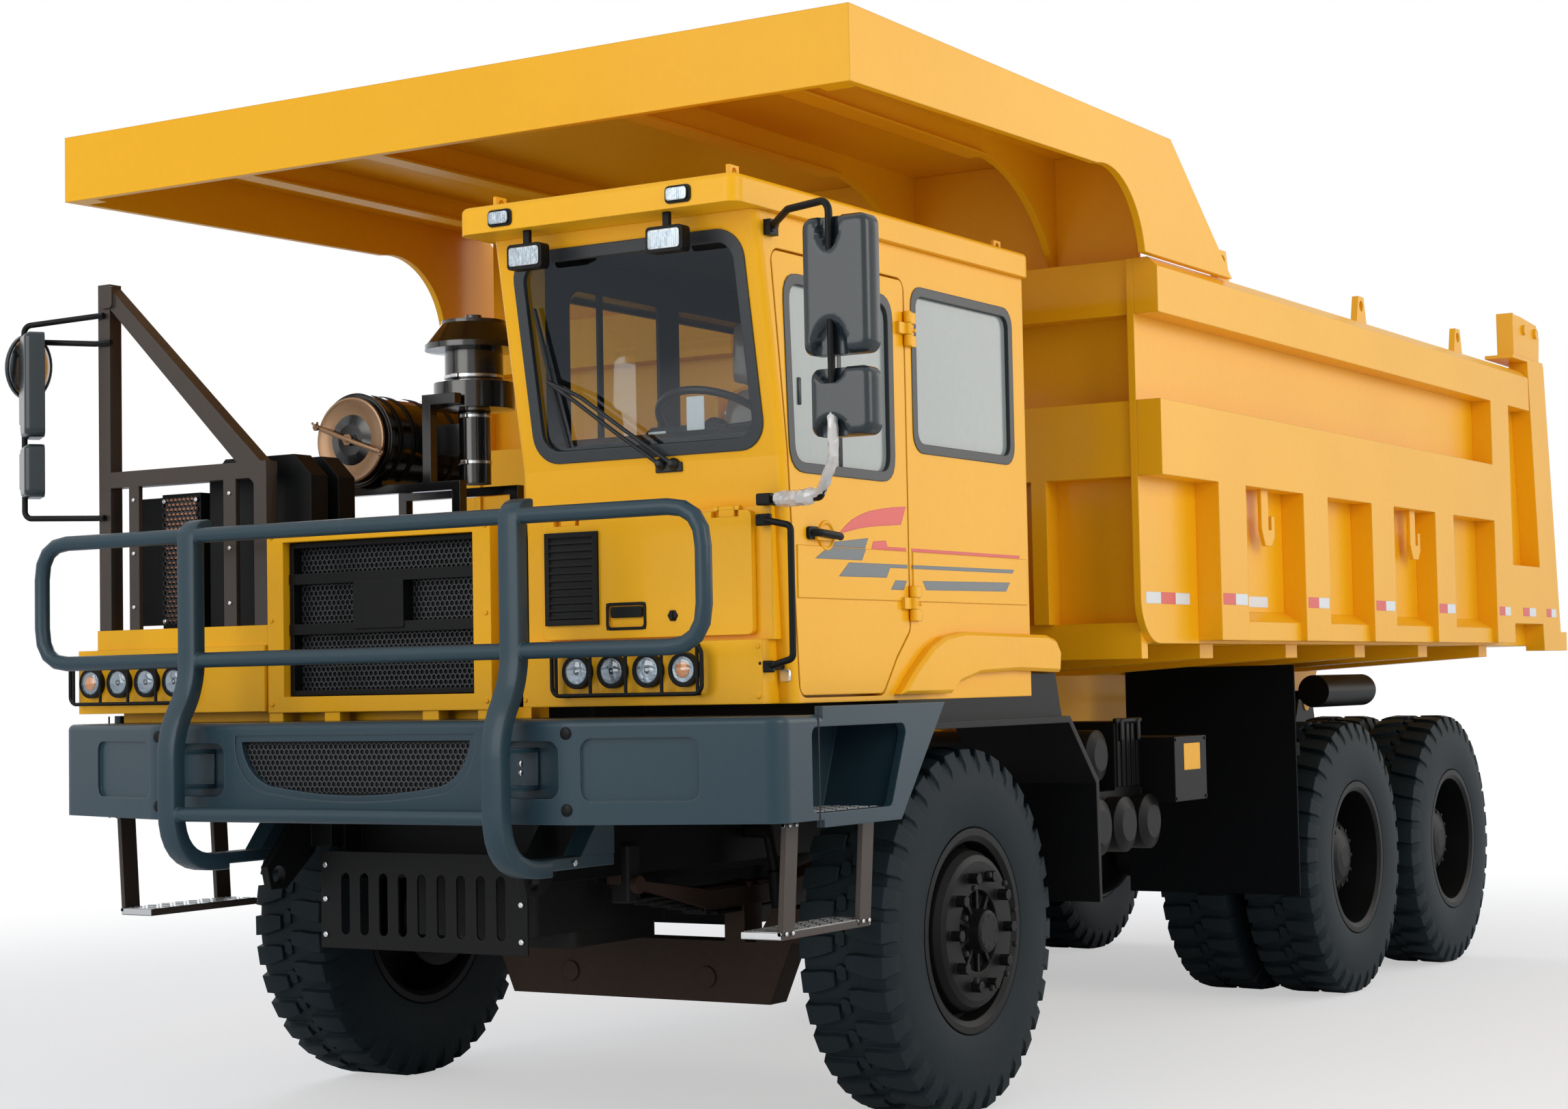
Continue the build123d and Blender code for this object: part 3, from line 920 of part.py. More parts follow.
with BuildPart() as knuckle_right:
    add(knuckle_left.part.mirror(Plane.YZ))
save(knuckle_right.part, "knuckle_right")

# Tie rod between the steering arms, with an eye round each arm's pin
with BuildPart() as tie_rod:
    rod_x(ARM_Y, ROD_Z, 18, -KINGPIN_X + 20, KINGPIN_X - 20)
    for side in (1, -1):
        rod_z(side * KINGPIN_X, ARM_Y, 34, ROD_Z - 18, ROD_Z + 18)
        rod_z(side * KINGPIN_X, ARM_Y, ARM_PIN + RUNNING, ROD_Z - 40, ROD_Z + 40, mode=Mode.SUBTRACT)
save(tie_rod.part, "tie_rod")

# Tyres: faceted rings with shoulder lugs; a lug lies flat on the ground at the bottom of each wheel
LUGS = 18
LUG_STEP = 2 * pi / LUGS
LUG_SHARE = 0.56
LUG_TAPER = 0.02
TREAD_HALF = TYRE_HALF - 22
VALLEY_RADIUS = TYRE_RADIUS - 28
SHOULDER_RADIUS = TYRE_RADIUS - 48
WALL_RADIUS = 500
BEAD_FACE = 455


def facets(apothem):
    """Corner points of the tyre's polygon, with a flat side at the bottom."""
    reach = apothem / cos(LUG_STEP / 2)
    angles = [(row + 0.5) * LUG_STEP - pi / 2 for row in range(LUGS)]
    return [(reach * cos(a), reach * sin(a)) for a in angles]


def tread_outline():
    """Gear-shaped outline of the tread: a flat-topped lug and a valley on each step."""
    half = LUG_SHARE * LUG_STEP / 2
    crown = TYRE_RADIUS / cos(half)
    points = []
    for row in range(LUGS):
        middle = row * LUG_STEP - pi / 2
        for angle, reach in ((middle - half - LUG_TAPER, VALLEY_RADIUS), (middle - half, crown),
                             (middle + half, crown), (middle + half + LUG_TAPER, VALLEY_RADIUS)):
            points.append((reach * cos(angle), reach * sin(angle)))
    return points


def frustum(x0, apothem0, x1, apothem1, mode=Mode.ADD):
    """Straight-sided loft between two tyre polygons at stations across the wheel."""
    with BuildSketch(Plane.YZ.offset(x0)) as near:
        Polygon(*facets(apothem0), align=None)
    with BuildSketch(Plane.YZ.offset(x1)) as far:
        Polygon(*facets(apothem1), align=None)
    loft([near.sketch.face(), far.sketch.face()], ruled=True, mode=mode)


def make_tyre():
    """One tyre about the X axis through the origin."""
    with BuildPart() as tyre:
        with BuildSketch(Plane.YZ.offset(-TREAD_HALF)) as tread:
            Polygon(*tread_outline(), align=None)
        extrude(tread.sketch, amount=2 * TREAD_HALF)
        for side in (1, -1):
            frustum(side * TREAD_HALF, SHOULDER_RADIUS, side * TYRE_HALF, WALL_RADIUS)
        with BuildSketch(Plane.YZ.offset(-TYRE_HALF)) as bore:
            Polygon(*facets(RIM_SEAT + CURVED_GAP), align=None)
        extrude(bore.sketch, amount=2 * TYRE_HALF, mode=Mode.SUBTRACT)
        for side in (1, -1):
            frustum(side * (TYRE_HALF - 38), RIM_SEAT + CURVED_GAP, side * TYRE_HALF, BEAD_FACE,
                    mode=Mode.SUBTRACT)
    return tyre.part


# Rims and hubs: outlines are (outward, radius) from the tyre's centre plane, turned round the axle
RIM = [(-RIM_HALF, RIM_FLANGE), (-172, RIM_FLANGE), (-150, RIM_SEAT), (150, RIM_SEAT), (172, RIM_FLANGE),
       (RIM_HALF, RIM_FLANGE), (RIM_HALF, 342), (165, 322), (-165, 322), (-RIM_HALF, 342)]
FRONT_HUB = [(-120, 140), (40, 140), (60, 250), (60, 323), (84, 323), (84, 306), (165, 288), (190, 272),
             (198, 250), (198, 148), (174, 140), (174, 86), (202, 80), (236, 76), (242, 66), (242, 0), (-120, 0)]
REAR_HUB = [(-70, 165), (-12, 190), (-12, 297), (-60, 297), (-60, 323), (60, 323), (60, 297), (12, 297),
            (12, 196), (60, 184), (270, 184), (300, 150), (322, 96), (330, 50), (330, 0), (-70, 0)]
TWIN_MID = (TWIN_OUTER_X + TWIN_INNER_X) / 2
TWIN_OFFSET = (TWIN_OUTER_X - TWIN_INNER_X) / 2
SIDES = (("left", 1), ("right", -1))
WHEEL_NUTS = 10
NUT_CIRCLE = 202
NUT = 21
NUT_TALL = 42


def shifted(points, offset):
    """The same outline moved outward by an offset."""
    return [(x + offset, r) for x, r in points]


def front_rim(side):
    """Front rim and its hub disc with nuts and ribs, bored for the spindle."""
    centre = (side * FRONT_TYRE_X, 0, TYRE_RADIUS)
    with BuildPart() as rim:
        turned(RIM, centre, side)
        turned(FRONT_HUB, centre, side)
        face = side * (FRONT_TYRE_X + 197)
        with BuildSketch(Plane.YZ.offset(face)) as nuts:
            with Locations((0, TYRE_RADIUS)):
                with PolarLocations(NUT_CIRCLE, WHEEL_NUTS):
                    RegularPolygon(NUT, 6)
        extrude(nuts.sketch, amount=side * NUT_TALL)
        with BuildSketch(Plane.YZ.offset(side * (FRONT_TYRE_X + 173))) as ribs:
            with Locations((0, TYRE_RADIUS)):
                with PolarLocations(113, WHEEL_NUTS, start_angle=180 / WHEEL_NUTS):
                    Rectangle(64, 14)
        extrude(ribs.sketch, amount=side * 22)
        x0, x1 = sorted((side * (FRONT_TYRE_X - 121), side * (FRONT_TYRE_X + 114)))
        rod_x(0, TYRE_RADIUS, SPINDLE_RADIUS + RUNNING, x0, x1, mode=Mode.SUBTRACT)
    return rim.part


def twin_rims(side, station):
    """Both rims of a twin wheel on their one domed hub, bored for the spindle."""
    centre = (side * TWIN_MID, station, TYRE_RADIUS)
    with BuildPart() as rims:
        for offset in (-TWIN_OFFSET, TWIN_OFFSET):
            turned(shifted(RIM, offset), centre, side)
        turned(REAR_HUB, centre, side)
        x0, x1 = sorted((side * (TWIN_MID - 71), side * (SPINDLE_END + 6)))
        rod_x(station, TYRE_RADIUS, SPINDLE + RUNNING, x0, x1, mode=Mode.SUBTRACT)
    return rims.part


tyre = make_tyre()
for name, side in SIDES:
    front = Location((side * FRONT_TYRE_X, 0, TYRE_RADIUS))
    save(tyre.moved(front), f"front_tyre_{name}")
    save(front_rim(side), f"front_rim_{name}")
    for number, station in enumerate(AXLES, start=1):
        pair = [tyre.moved(Location((side * x, station, TYRE_RADIUS))) for x in (TWIN_INNER_X, TWIN_OUTER_X)]
        save(Compound(children=pair), f"rear_tyres_{number}_{name}")
        save(twin_rims(side, station), f"rear_rims_{number}_{name}")

# Dump body: plate shell with a rounded lower front corner on each side
FRONT_CORNER = 180
with BuildPart() as body_shell:
    for x0, x1 in both(PLATE_X - PLATE, PLATE_X):
        with BuildSketch(Plane.YZ.offset(x0)) as side_plate:
            Polygon((BODY_FRONT, BODY_LOW), (BODY_REAR_LOW, BODY_LOW), (BODY_REAR_TOP, BODY_TOP),
                    (BODY_FRONT, BODY_TOP), align=None)
            lower_front = side_plate.vertices().sort_by(Axis.Z)[:2].sort_by(Axis.Y)[0]
            fillet(lower_front, FRONT_CORNER)
        extrude(side_plate.sketch, amount=PLATE)
    inner = PLATE_X - PLATE
    block(-inner, inner, WALL_Y, BODY_REAR_LOW, BODY_LOW, BODY_LOW + PLATE)
    block(-inner, inner, WALL_Y, WALL_Y + PLATE, BODY_LOW, CANOPY_TOP - 50)
save(body_shell.part, "body_shell")

# Outer frame of the body: rails, posts, sills, front beams, floor bearers, hooks and the hinge brackets
TOP_RAIL = (BODY_TOP - 222, BODY_TOP)
MID_RAIL = (2361, 2661)
RAIL_BEVEL = 40
POST_LOW = BODY_LOW + 12
POST_ROWS = ((1640, 1937), (2613, 2919), (3509, 3825), (4457, 4750))
TALL_POST = (5456, 5775)
CORNER_TOP = BODY_TOP + 53
CORNER_LOW = BODY_LOW - 29
TOP_RAIL_REAR = BODY_REAR_TOP - 315
SILL = [(PLATE_X, 1838), (BODY_HALF - 28, 1790), (BODY_HALF - 28, POST_LOW), (PLATE_X, POST_LOW)]
RECESS = 250
STIFFENER_X = (1173, 1241)
HOOKS = (2271, 4240)
EYE_STATIONS = (1888, 3607, 5097)
LIFT_EYE_Z = BODY_TOP + 85
LIFT_BORE = 25
LATCH_REAR = BODY_REAR_LOW + 104
BEARER_LOW = 1300
with BuildPart() as body_ribs:
    for side in (1, -1):
        rail = [(PLATE_X, TOP_RAIL[0]), (BODY_HALF, TOP_RAIL[0]), (BODY_HALF, TOP_RAIL[1] - RAIL_BEVEL),
                (BODY_HALF - RAIL_BEVEL, TOP_RAIL[1]), (PLATE_X, TOP_RAIL[1])]
        slab_y([(side * x, z) for x, z in rail], BODY_FRONT, TOP_RAIL_REAR)
        slab_y([(side * x, z) for x, z in SILL], POST_ROWS[0][1] - 1, TALL_POST[0] + 1)
    for x0, x1 in both(PLATE_X, BODY_HALF):
        block(x0, x1, BODY_FRONT, TALL_POST[0], *MID_RAIL)
        for y0, y1 in POST_ROWS:
            block(x0, x1, y0, y1, POST_LOW, MID_RAIL[0] + 1)
        block(x0, x1, *TALL_POST, POST_LOW, TOP_RAIL[0] + 1)
        slab_x([(BODY_REAR_LOW - 350, CORNER_LOW), (BODY_REAR_LOW, CORNER_LOW), (BODY_REAR_TOP, CORNER_TOP),
                (TOP_RAIL_REAR, CORNER_TOP)], x0, x1)
        block(x0, x1, TALL_POST[1] - 1, BODY_REAR_LOW - 350, 1818, 2135)
    for x0, x1 in both(RECESS, PLATE_X - PLATE):
        for z0, z1 in (TOP_RAIL, MID_RAIL):
            block(x0, x1, WALL_Y - RIB_DEEP, WALL_Y, z0, z1)
        block(x0, x1, WALL_Y - 60, WALL_Y, BODY_LOW - 60, BODY_LOW + 84)
    for x0, x1 in both(*STIFFENER_X):
        block(x0, x1, WALL_Y - RIB_DEEP, WALL_Y, BODY_LOW + 83, MID_RAIL[0] + 1)
    for x0, x1 in both(RAIL_X - 80, RAIL_X - 40):
        slab_x([(WALL_Y + 110, BEARER_LOW), (TIP_Y + 80, BEARER_LOW), (TIP_Y + 300, BEARER_LOW + 280),
                (TIP_Y + 300, BODY_LOW), (WALL_Y + 110, BODY_LOW)], x0, x1)
    for y0, y1 in (*POST_ROWS, TALL_POST):
        slab_y([(30 - PLATE_X, BODY_LOW - 60), (-600, BODY_LOW - 120), (600, BODY_LOW - 120),
                (PLATE_X - 30, BODY_LOW - 60), (PLATE_X - 30, BODY_LOW), (30 - PLATE_X, BODY_LOW)],
               (y0 + y1) / 2 - 70, (y0 + y1) / 2 + 70)
    rod_x(TIP_Y, TIP_Z, PIVOT_PIN, -RAIL_X - 6, RAIL_X + 6)
    for x0, x1 in both(*HOIST_EAR):
        slab_x([(WALL_Y, HOIST_HEAD_Z + 200), (HOIST_HEAD_Y - 78, HOIST_HEAD_Z + 60),
                (HOIST_HEAD_Y - 78, HOIST_HEAD_Z - 60), (HOIST_HEAD_Y + 100, HOIST_HEAD_Z - 75),
                (WALL_Y, HOIST_HEAD_Z - 200)], x0, x1)
    rod_x(HOIST_HEAD_Y, HOIST_HEAD_Z, HOIST_PIN, -HOIST_EAR[1], HOIST_EAR[1])
    for x0, x1 in both(PLATE_X + 20, PLATE_X + 50):
        for station in EYE_STATIONS:
            slab_x([(station - 70, BODY_TOP - 1), (station + 70, BODY_TOP - 1), (station + 38, LIFT_EYE_Z + 45),
                    (station - 38, LIFT_EYE_Z + 45)], x0, x1)
            rod_x(station, LIFT_EYE_Z, LIFT_BORE, x0, x1, mode=Mode.SUBTRACT)
    for x0, x1 in both(PLATE_X + 52, PLATE_X + 68):
        for station in HOOKS:
            slab_x([(station - 70, MID_RAIL[0] + 1), (station - 70, 2190), (station - 30, 2120), (station + 45, 2120),
                    (station + 80, 2160), (station + 80, 2250), (station + 45, 2250), (station + 45, 2190),
                    (station + 10, 2190), (station + 10, MID_RAIL[0] + 1)], x0, x1)
    for x0, x1 in both(PLATE_X + 50, PLATE_X + 80):
        slab_x([(5950, CORNER_TOP - 1), (BODY_REAR_TOP - 4, CORNER_TOP - 1), (BODY_REAR_TOP + 20, 3440),
                (BODY_REAR_TOP - 30, 3510), (6150, 3530), (5950, 3530)], x0, x1)
    for x0, x1 in both(PLATE_X - 50, BODY_HALF):
        block(x0, x1, 5900, BODY_REAR_TOP - 10, CORNER_TOP - 1, CORNER_TOP + 18)
    for x0, x1 in both(PLATE_X + 5, BODY_HALF - 10):
        block(x0, x1, 5950, 5974, CORNER_TOP, 3530)
        rod_x(GATE_PIN_Y - 220, GATE_PIN_Z, GATE_PIN, x0, x1)
    for x0, x1 in both(PLATE_X - 4, PLATE_X + 95):
        rod_x(GATE_PIN_Y, GATE_PIN_Z, GATE_PIN, x0, x1)
    for x0, x1 in both(BODY_HALF - 50, BODY_HALF):
        block(x0, x1, BODY_REAR_LOW - 350, LATCH_REAR, CORNER_LOW, CORNER_LOW + 105)
save(body_ribs.part, "body_ribs")

# Canopy: front fascia, roof plate, side gussets swept down to the body and four arched ribs under the roof
ARCH_START = 538
ARCH_END = WALL_Y - 230
ROOF_FALL = 18
ROOF_REAR = 1240
RIB_LOW = CANOPY_LOW + 120
GUSSET_REAR = 1850


def canopy_side(x0, x1):
    """A gusset plate whose lower edge sweeps down to the body in one arc."""
    with BuildSketch(Plane.YZ.offset(x0)) as gusset:
        with BuildLine():
            Polyline((ARCH_END, BODY_TOP), (GUSSET_REAR, BODY_TOP), (ROOF_REAR, CANOPY_TOP - ROOF_FALL),
                     (CANOPY_FRONT, CANOPY_TOP), (CANOPY_FRONT, CANOPY_LOW), (ARCH_START, CANOPY_LOW + 30))
            ThreePointArc((ARCH_START, CANOPY_LOW + 30), (845, CANOPY_LOW - 50), (ARCH_END, BODY_TOP))
        make_face()
    extrude(gusset.sketch, amount=x1 - x0)


def canopy_rib(x0, x1):
    """A rib under the roof that arches down the front wall."""
    with BuildSketch(Plane.YZ.offset(x0)) as rib:
        with BuildLine():
            Polyline((WALL_Y, BODY_TOP + 1), (WALL_Y, CANOPY_TOP - 49), (CANOPY_FRONT + PLATE - 1, CANOPY_TOP - 31),
                     (CANOPY_FRONT + PLATE - 1, RIB_LOW), (ARCH_START, RIB_LOW))
            ThreePointArc((ARCH_START, RIB_LOW), (920, CANOPY_LOW + 10), (WALL_Y - 60, BODY_TOP + 60))
            Line((WALL_Y - 60, BODY_TOP + 60), (WALL_Y, BODY_TOP + 1))
        make_face()
    extrude(rib.sketch, amount=x1 - x0)


with BuildPart() as canopy:
    for x0, x1 in both(BODY_HALF - PLATE, BODY_HALF):
        canopy_side(x0, x1)
    slab_x([(CANOPY_FRONT, CANOPY_TOP - 32), (CANOPY_FRONT, CANOPY_TOP), (ROOF_REAR, CANOPY_TOP - ROOF_FALL),
            (ROOF_REAR, CANOPY_TOP - 50)], -BODY_HALF + 1, BODY_HALF - 1)
    block(-BODY_HALF + 1, BODY_HALF - 1, CANOPY_FRONT, CANOPY_FRONT + PLATE, CANOPY_LOW, CANOPY_TOP - 30)
    for middle in (596, 1250):
        for x0, x1 in both(middle - 16, middle + 16):
            canopy_rib(x0, x1)
        for x0, x1 in both(middle - 45, middle + 45):
            block(x0, x1, CANOPY_FRONT + PLATE - 1, ARCH_START, RIB_LOW - 9, RIB_LOW + 1)
    for x0, x1 in both(PLATE_X - PLATE, BODY_HALF - PLATE + 1):
        block(x0, x1, CANOPY_FRONT + PLATE - 1, CANOPY_FRONT + PLATE + 60, CANOPY_LOW, CANOPY_LOW + 10)
save(canopy.part, "canopy")

# Tailgate hung from the two pins at its top
GATE_GAP = 10
GATE = 60
GATE_HALF = BODY_HALF - 65
with BuildPart() as tailgate:
    low_y = BODY_REAR_LOW + GATE_GAP
    high_y = BODY_REAR_TOP + GATE_GAP
    slab_x([(low_y, BODY_LOW), (low_y + GATE, BODY_LOW), (high_y + GATE, BODY_TOP - 20), (high_y, BODY_TOP - 20)],
           -GATE_HALF, GATE_HALF)
    for x0, x1 in both(PLATE_X, PLATE_X + 34):
        slab_x([(GATE_PIN_Y - 40, GATE_PIN_Z + 60), (GATE_PIN_Y + 140, GATE_PIN_Z + 60),
                (GATE_PIN_Y + 240, BODY_TOP + 75), (GATE_PIN_Y + 240, BODY_TOP - 325),
                (GATE_PIN_Y + 140, BODY_TOP - 325), (GATE_PIN_Y + 120, BODY_TOP + 65),
                (GATE_PIN_Y + 60, GATE_PIN_Z - 50), (GATE_PIN_Y - 40, GATE_PIN_Z - 50)], x0, x1)
        rod_x(GATE_PIN_Y, GATE_PIN_Z, GATE_PIN + RUNNING, x0, x1, mode=Mode.SUBTRACT)
    for z in (BODY_LOW + 200, BODY_LOW + 800, BODY_TOP - 175):
        rear = low_y + GATE - (BODY_REAR_LOW - BODY_REAR_TOP) * (z - BODY_LOW) / (BODY_TOP - BODY_LOW)
        block(90 - PLATE_X, PLATE_X - 90, rear - 10, rear + 80, z - 60, z + 60)
save(tailgate.part, "tailgate")

# Telescopic hoist: barrel, three sleeves and a rod whose open cradle sits under the body's pin
HOIST_AXIS = Plane(origin=(0, HOIST_Y, HOIST_Z), x_dir=(1, 0, 0), z_dir=(0, sin(HOIST_LEAN), cos(HOIST_LEAN)))
HOIST_EYE_HALF = 60
BARREL_RADIUS = 115
BARREL_HIGH = 1240
SLEEVE_WALL = 14
SLEEVE_STEP = 15
# Barrel and sleeves as (name, bottom, bottom of the bore) along the hoist's line from its foot pin
STAGES = (("hoist_barrel", 80, 92), ("hoist_stage_1", 100, 111), ("hoist_stage_2", 112, 123),
          ("hoist_stage_3", 124, 135))
ROD_LOW = 136


def along_hoist(radius, s0, s1, mode=Mode.ADD):
    """A round piece along the hoist between two distances from its foot pin."""
    with BuildSketch(HOIST_AXIS.offset(s0)) as section:
        Circle(radius)
    extrude(section.sketch, amount=s1 - s0, mode=mode)


with BuildPart() as hoist_mount:
    block(-RAIL_X, RAIL_X, HOIST_Y - 70, HOIST_Y + 70, RAIL_TOP, RAIL_TOP + 25)
    for x0, x1 in both(*HOIST_EAR):
        slab_x([(HOIST_Y - 70, RAIL_TOP + 24), (HOIST_Y + 70, RAIL_TOP + 24), (HOIST_Y + 45, HOIST_Z + 45),
                (HOIST_Y - 45, HOIST_Z + 45)], x0, x1)
    rod_x(HOIST_Y, HOIST_Z, HOIST_PIN, -HOIST_EAR[1], HOIST_EAR[1])
save(hoist_mount.part, "hoist_mount")
radius = BARREL_RADIUS
for number, (name, low, bore_low) in enumerate(STAGES):
    high = BARREL_HIGH + SLEEVE_STEP * number
    with BuildPart() as stage:
        along_hoist(radius, low, high)
        along_hoist(radius - SLEEVE_WALL, bore_low, high + 1, mode=Mode.SUBTRACT)
        if number == 0:
            rod_x(HOIST_Y, HOIST_Z, 52, -HOIST_EYE_HALF, HOIST_EYE_HALF)
            with BuildSketch(HOIST_AXIS) as neck:
                Rectangle(2 * HOIST_EYE_HALF, 90)
            extrude(neck.sketch, amount=low + 1)
            rod_x(HOIST_Y, HOIST_Z, HOIST_PIN + RUNNING, -HOIST_EYE_HALF - 1, HOIST_EYE_HALF + 1,
                  mode=Mode.SUBTRACT)
    save(stage.part, name)
    radius -= SLEEVE_WALL + RUNNING
with BuildPart() as hoist_rod:
    along_hoist(radius, ROD_LOW, HOIST_LENGTH - 40)
    rod_x(HOIST_HEAD_Y, HOIST_HEAD_Z, 55, -HOIST_EYE_HALF, HOIST_EYE_HALF)
    with BuildSketch(HOIST_AXIS.offset(HOIST_LENGTH)) as open_top:
        Rectangle(4 * HOIST_EYE_HALF, 4 * HOIST_EYE_HALF)
    extrude(open_top.sketch, amount=HOIST_EYE_HALF, mode=Mode.SUBTRACT)
    rod_x(HOIST_HEAD_Y, HOIST_HEAD_Z, HOIST_PIN + RUNNING, -HOIST_EYE_HALF - 1, HOIST_EYE_HALF + 1,
          mode=Mode.SUBTRACT)
save(hoist_rod.part, "hoist_rod")
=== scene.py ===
import bpy
import bmesh
import json
import math
import random
from mathutils import Matrix, Vector


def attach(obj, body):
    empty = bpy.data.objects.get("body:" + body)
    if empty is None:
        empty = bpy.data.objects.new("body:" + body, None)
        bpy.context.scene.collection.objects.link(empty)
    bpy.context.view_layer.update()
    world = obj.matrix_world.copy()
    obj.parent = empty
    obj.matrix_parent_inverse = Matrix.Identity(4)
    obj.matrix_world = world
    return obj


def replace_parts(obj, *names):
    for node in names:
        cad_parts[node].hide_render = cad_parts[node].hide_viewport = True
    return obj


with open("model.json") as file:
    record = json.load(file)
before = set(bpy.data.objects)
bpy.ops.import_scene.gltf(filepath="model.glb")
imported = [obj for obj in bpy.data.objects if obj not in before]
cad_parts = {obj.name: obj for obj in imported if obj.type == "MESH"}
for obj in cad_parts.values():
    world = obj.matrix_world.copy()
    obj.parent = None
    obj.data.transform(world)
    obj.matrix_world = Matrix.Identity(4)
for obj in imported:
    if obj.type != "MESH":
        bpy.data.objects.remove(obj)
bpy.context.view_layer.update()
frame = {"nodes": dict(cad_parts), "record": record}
nodes = frame["nodes"]

# Camera: the photograph's own view, from off the truck's front left corner with the eye a little above the
# bumper. It was solved for the whole frame of 2296 by 1624: a lens of about 61 mm on a film 36 mm wide, sharp
# all through.
YAW = math.radians(31.465)
PITCH_UP = math.radians(2.995)
ROLL = math.radians(-1.117)
FRAME_WIDE = 2296
FOCAL_PX = 3902.0
FILM_WIDE = 36.0
EYE = (5.9373, -11.0581, 1.5693)
camera_data = bpy.data.cameras.new("view_camera")
camera_data.sensor_fit = "HORIZONTAL"
camera_data.sensor_width = FILM_WIDE
camera_data.lens = FILM_WIDE * FOCAL_PX / FRAME_WIDE
camera_data.shift_x = -0.0022
camera_data.shift_y = -0.0067
camera_data.clip_end = 200
camera = bpy.data.objects.new("view_camera", camera_data)
bpy.context.scene.collection.objects.link(camera)
bpy.context.scene.camera = camera
forward = Vector((-math.sin(YAW) * math.cos(PITCH_UP), math.cos(YAW) * math.cos(PITCH_UP),
                  math.sin(PITCH_UP)))
right = Vector((math.cos(YAW), math.sin(YAW), 0.0))
up = right.cross(forward)
rolled_right = math.cos(ROLL) * right + math.sin(ROLL) * up
rolled_up = -math.sin(ROLL) * right + math.cos(ROLL) * up
turn = Matrix((rolled_right, rolled_up, -forward)).transposed()
camera.matrix_world = Matrix.Translation(EYE) @ turn.to_4x4()

# Stage: a wide matte floor that holds the truck's shadow and fades to plain white further out for the camera
# and for glass. The sky is plain white to the camera, gloss and glass and dim and cool to the rest; four soft
# lamps light it.


def add_node(tree, kind, values=(), **settings):
    """A shader node with its settings, and its input values given by name or by place."""
    node = tree.nodes.new("ShaderNode" + kind)
    for setting, value in settings.items():
        setattr(node, setting, value)
    for entry, value in dict(values).items():
        node.inputs[entry].default_value = value
    return node


def wire(tree, *runs):
    """Links between nodes: a giving node and its output, then the taking node and its input."""
    for giver, output, taker, entry in runs:
        tree.links.new(giver.outputs[output], taker.inputs[entry])


def area_light(name, place, target, size, power, colour):
    """A square soft light at a place, facing a target."""
    data = bpy.data.lights.new(name, "AREA")
    data.size = size
    data.energy = power
    data.color = colour
    lamp = bpy.data.objects.new(name, data)
    bpy.context.scene.collection.objects.link(lamp)
    lamp.location = place
    lamp.rotation_euler = (Vector(target) - Vector(place)).to_track_quat("-Z", "Y").to_euler()


FLOOR_HALF = 40
FADE_FROM, FADE_TO = 4.5, 10.0
floor_mesh = bpy.data.meshes.new("studio_floor")
floor_mesh.from_pydata([(-FLOOR_HALF, -FLOOR_HALF, 0), (FLOOR_HALF, -FLOOR_HALF, 0),
                        (FLOOR_HALF, FLOOR_HALF, 0), (-FLOOR_HALF, FLOOR_HALF, 0)], [], [(0, 1, 2, 3)])
floor = bpy.data.objects.new("studio_floor", floor_mesh)
bpy.context.scene.collection.objects.link(floor)
floor_look = bpy.data.materials.new("studio_floor")
floor_look.use_nodes = True
tree = floor_look.node_tree
matte = tree.nodes["Principled BSDF"]
matte.inputs["Base Color"].default_value = (0.86, 0.86, 0.85, 1)
matte.inputs["Roughness"].default_value = 0.9
spot = add_node(tree, "NewGeometry")
far_out = add_node(tree, "VectorMath", operation="LENGTH")
fade = add_node(tree, "MapRange", {"From Min": FADE_FROM, "From Max": FADE_TO, "To Min": 0.5},
                interpolation_type="SMOOTHSTEP")
rays = add_node(tree, "LightPath")
seen = add_node(tree, "Math", operation="ADD", use_clamp=True)
share = add_node(tree, "Math", operation="MULTIPLY")
white = add_node(tree, "Emission")
mix = add_node(tree, "MixShader")
wire(tree, (spot, "Position", far_out, 0), (far_out, "Value", fade, "Value"), (fade, 0, share, 0),
     (rays, "Is Camera Ray", seen, 0), (rays, "Is Transmission Ray", seen, 1), (seen, 0, share, 1),
     (share, 0, mix, 0), (matte, 0, mix, 1), (white, 0, mix, 2), (mix, 0, tree.nodes["Material Output"],
                                                                  "Surface"))
floor.data.materials.append(floor_look)
world = bpy.data.worlds.new("studio")
bpy.context.scene.world = world
world.use_nodes = True
tree = world.node_tree
tree.nodes.clear()
out = add_node(tree, "OutputWorld")
mix = add_node(tree, "MixShader")
rays = add_node(tree, "LightPath")
dim = add_node(tree, "Background", {"Color": (0.80, 0.87, 1.0, 1), "Strength": 0.55})
white = add_node(tree, "Background", {"Color": (1, 1, 1, 1), "Strength": 1.0})
either = add_node(tree, "Math", operation="ADD")
seen = add_node(tree, "Math", operation="ADD", use_clamp=True)
wire(tree, (rays, "Is Glossy Ray", either, 0), (rays, "Is Transmission Ray", either, 1),
     (rays, "Is Camera Ray", seen, 0), (either, 0, seen, 1), (seen, 0, mix, 0), (dim, 0, mix, 1),
     (white, 0, mix, 2), (mix, 0, out, 0))
area_light("key_left", (13.0, -4.0, 6.5), (0, 0, 1.8), 7.0, 610, (1.0, 0.93, 0.82))
area_light("sky_side", (12.0, 13.0, 6.0), (0, 1, 2.0), 9.0, 460, (1.0, 0.95, 0.88))
area_light("fill_front", (-2.0, -15.0, 6.0), (0, -2, 1.6), 9.0, 690, (1.0, 0.97, 0.92))
area_light("rim_rear", (-10.0, 10.0, 9.0), (0, 2, 2.5), 7.0, 500, (0.9, 0.95, 1.0))
bpy.context.scene.view_settings.view_transform = "Standard"

# Shared effects: dust that settles low down and on level faces, edges softened or rubbed bare with a fine
# skin grain, and a slow drift between two tones. Each is one shader group that a finish places with its own
# values.


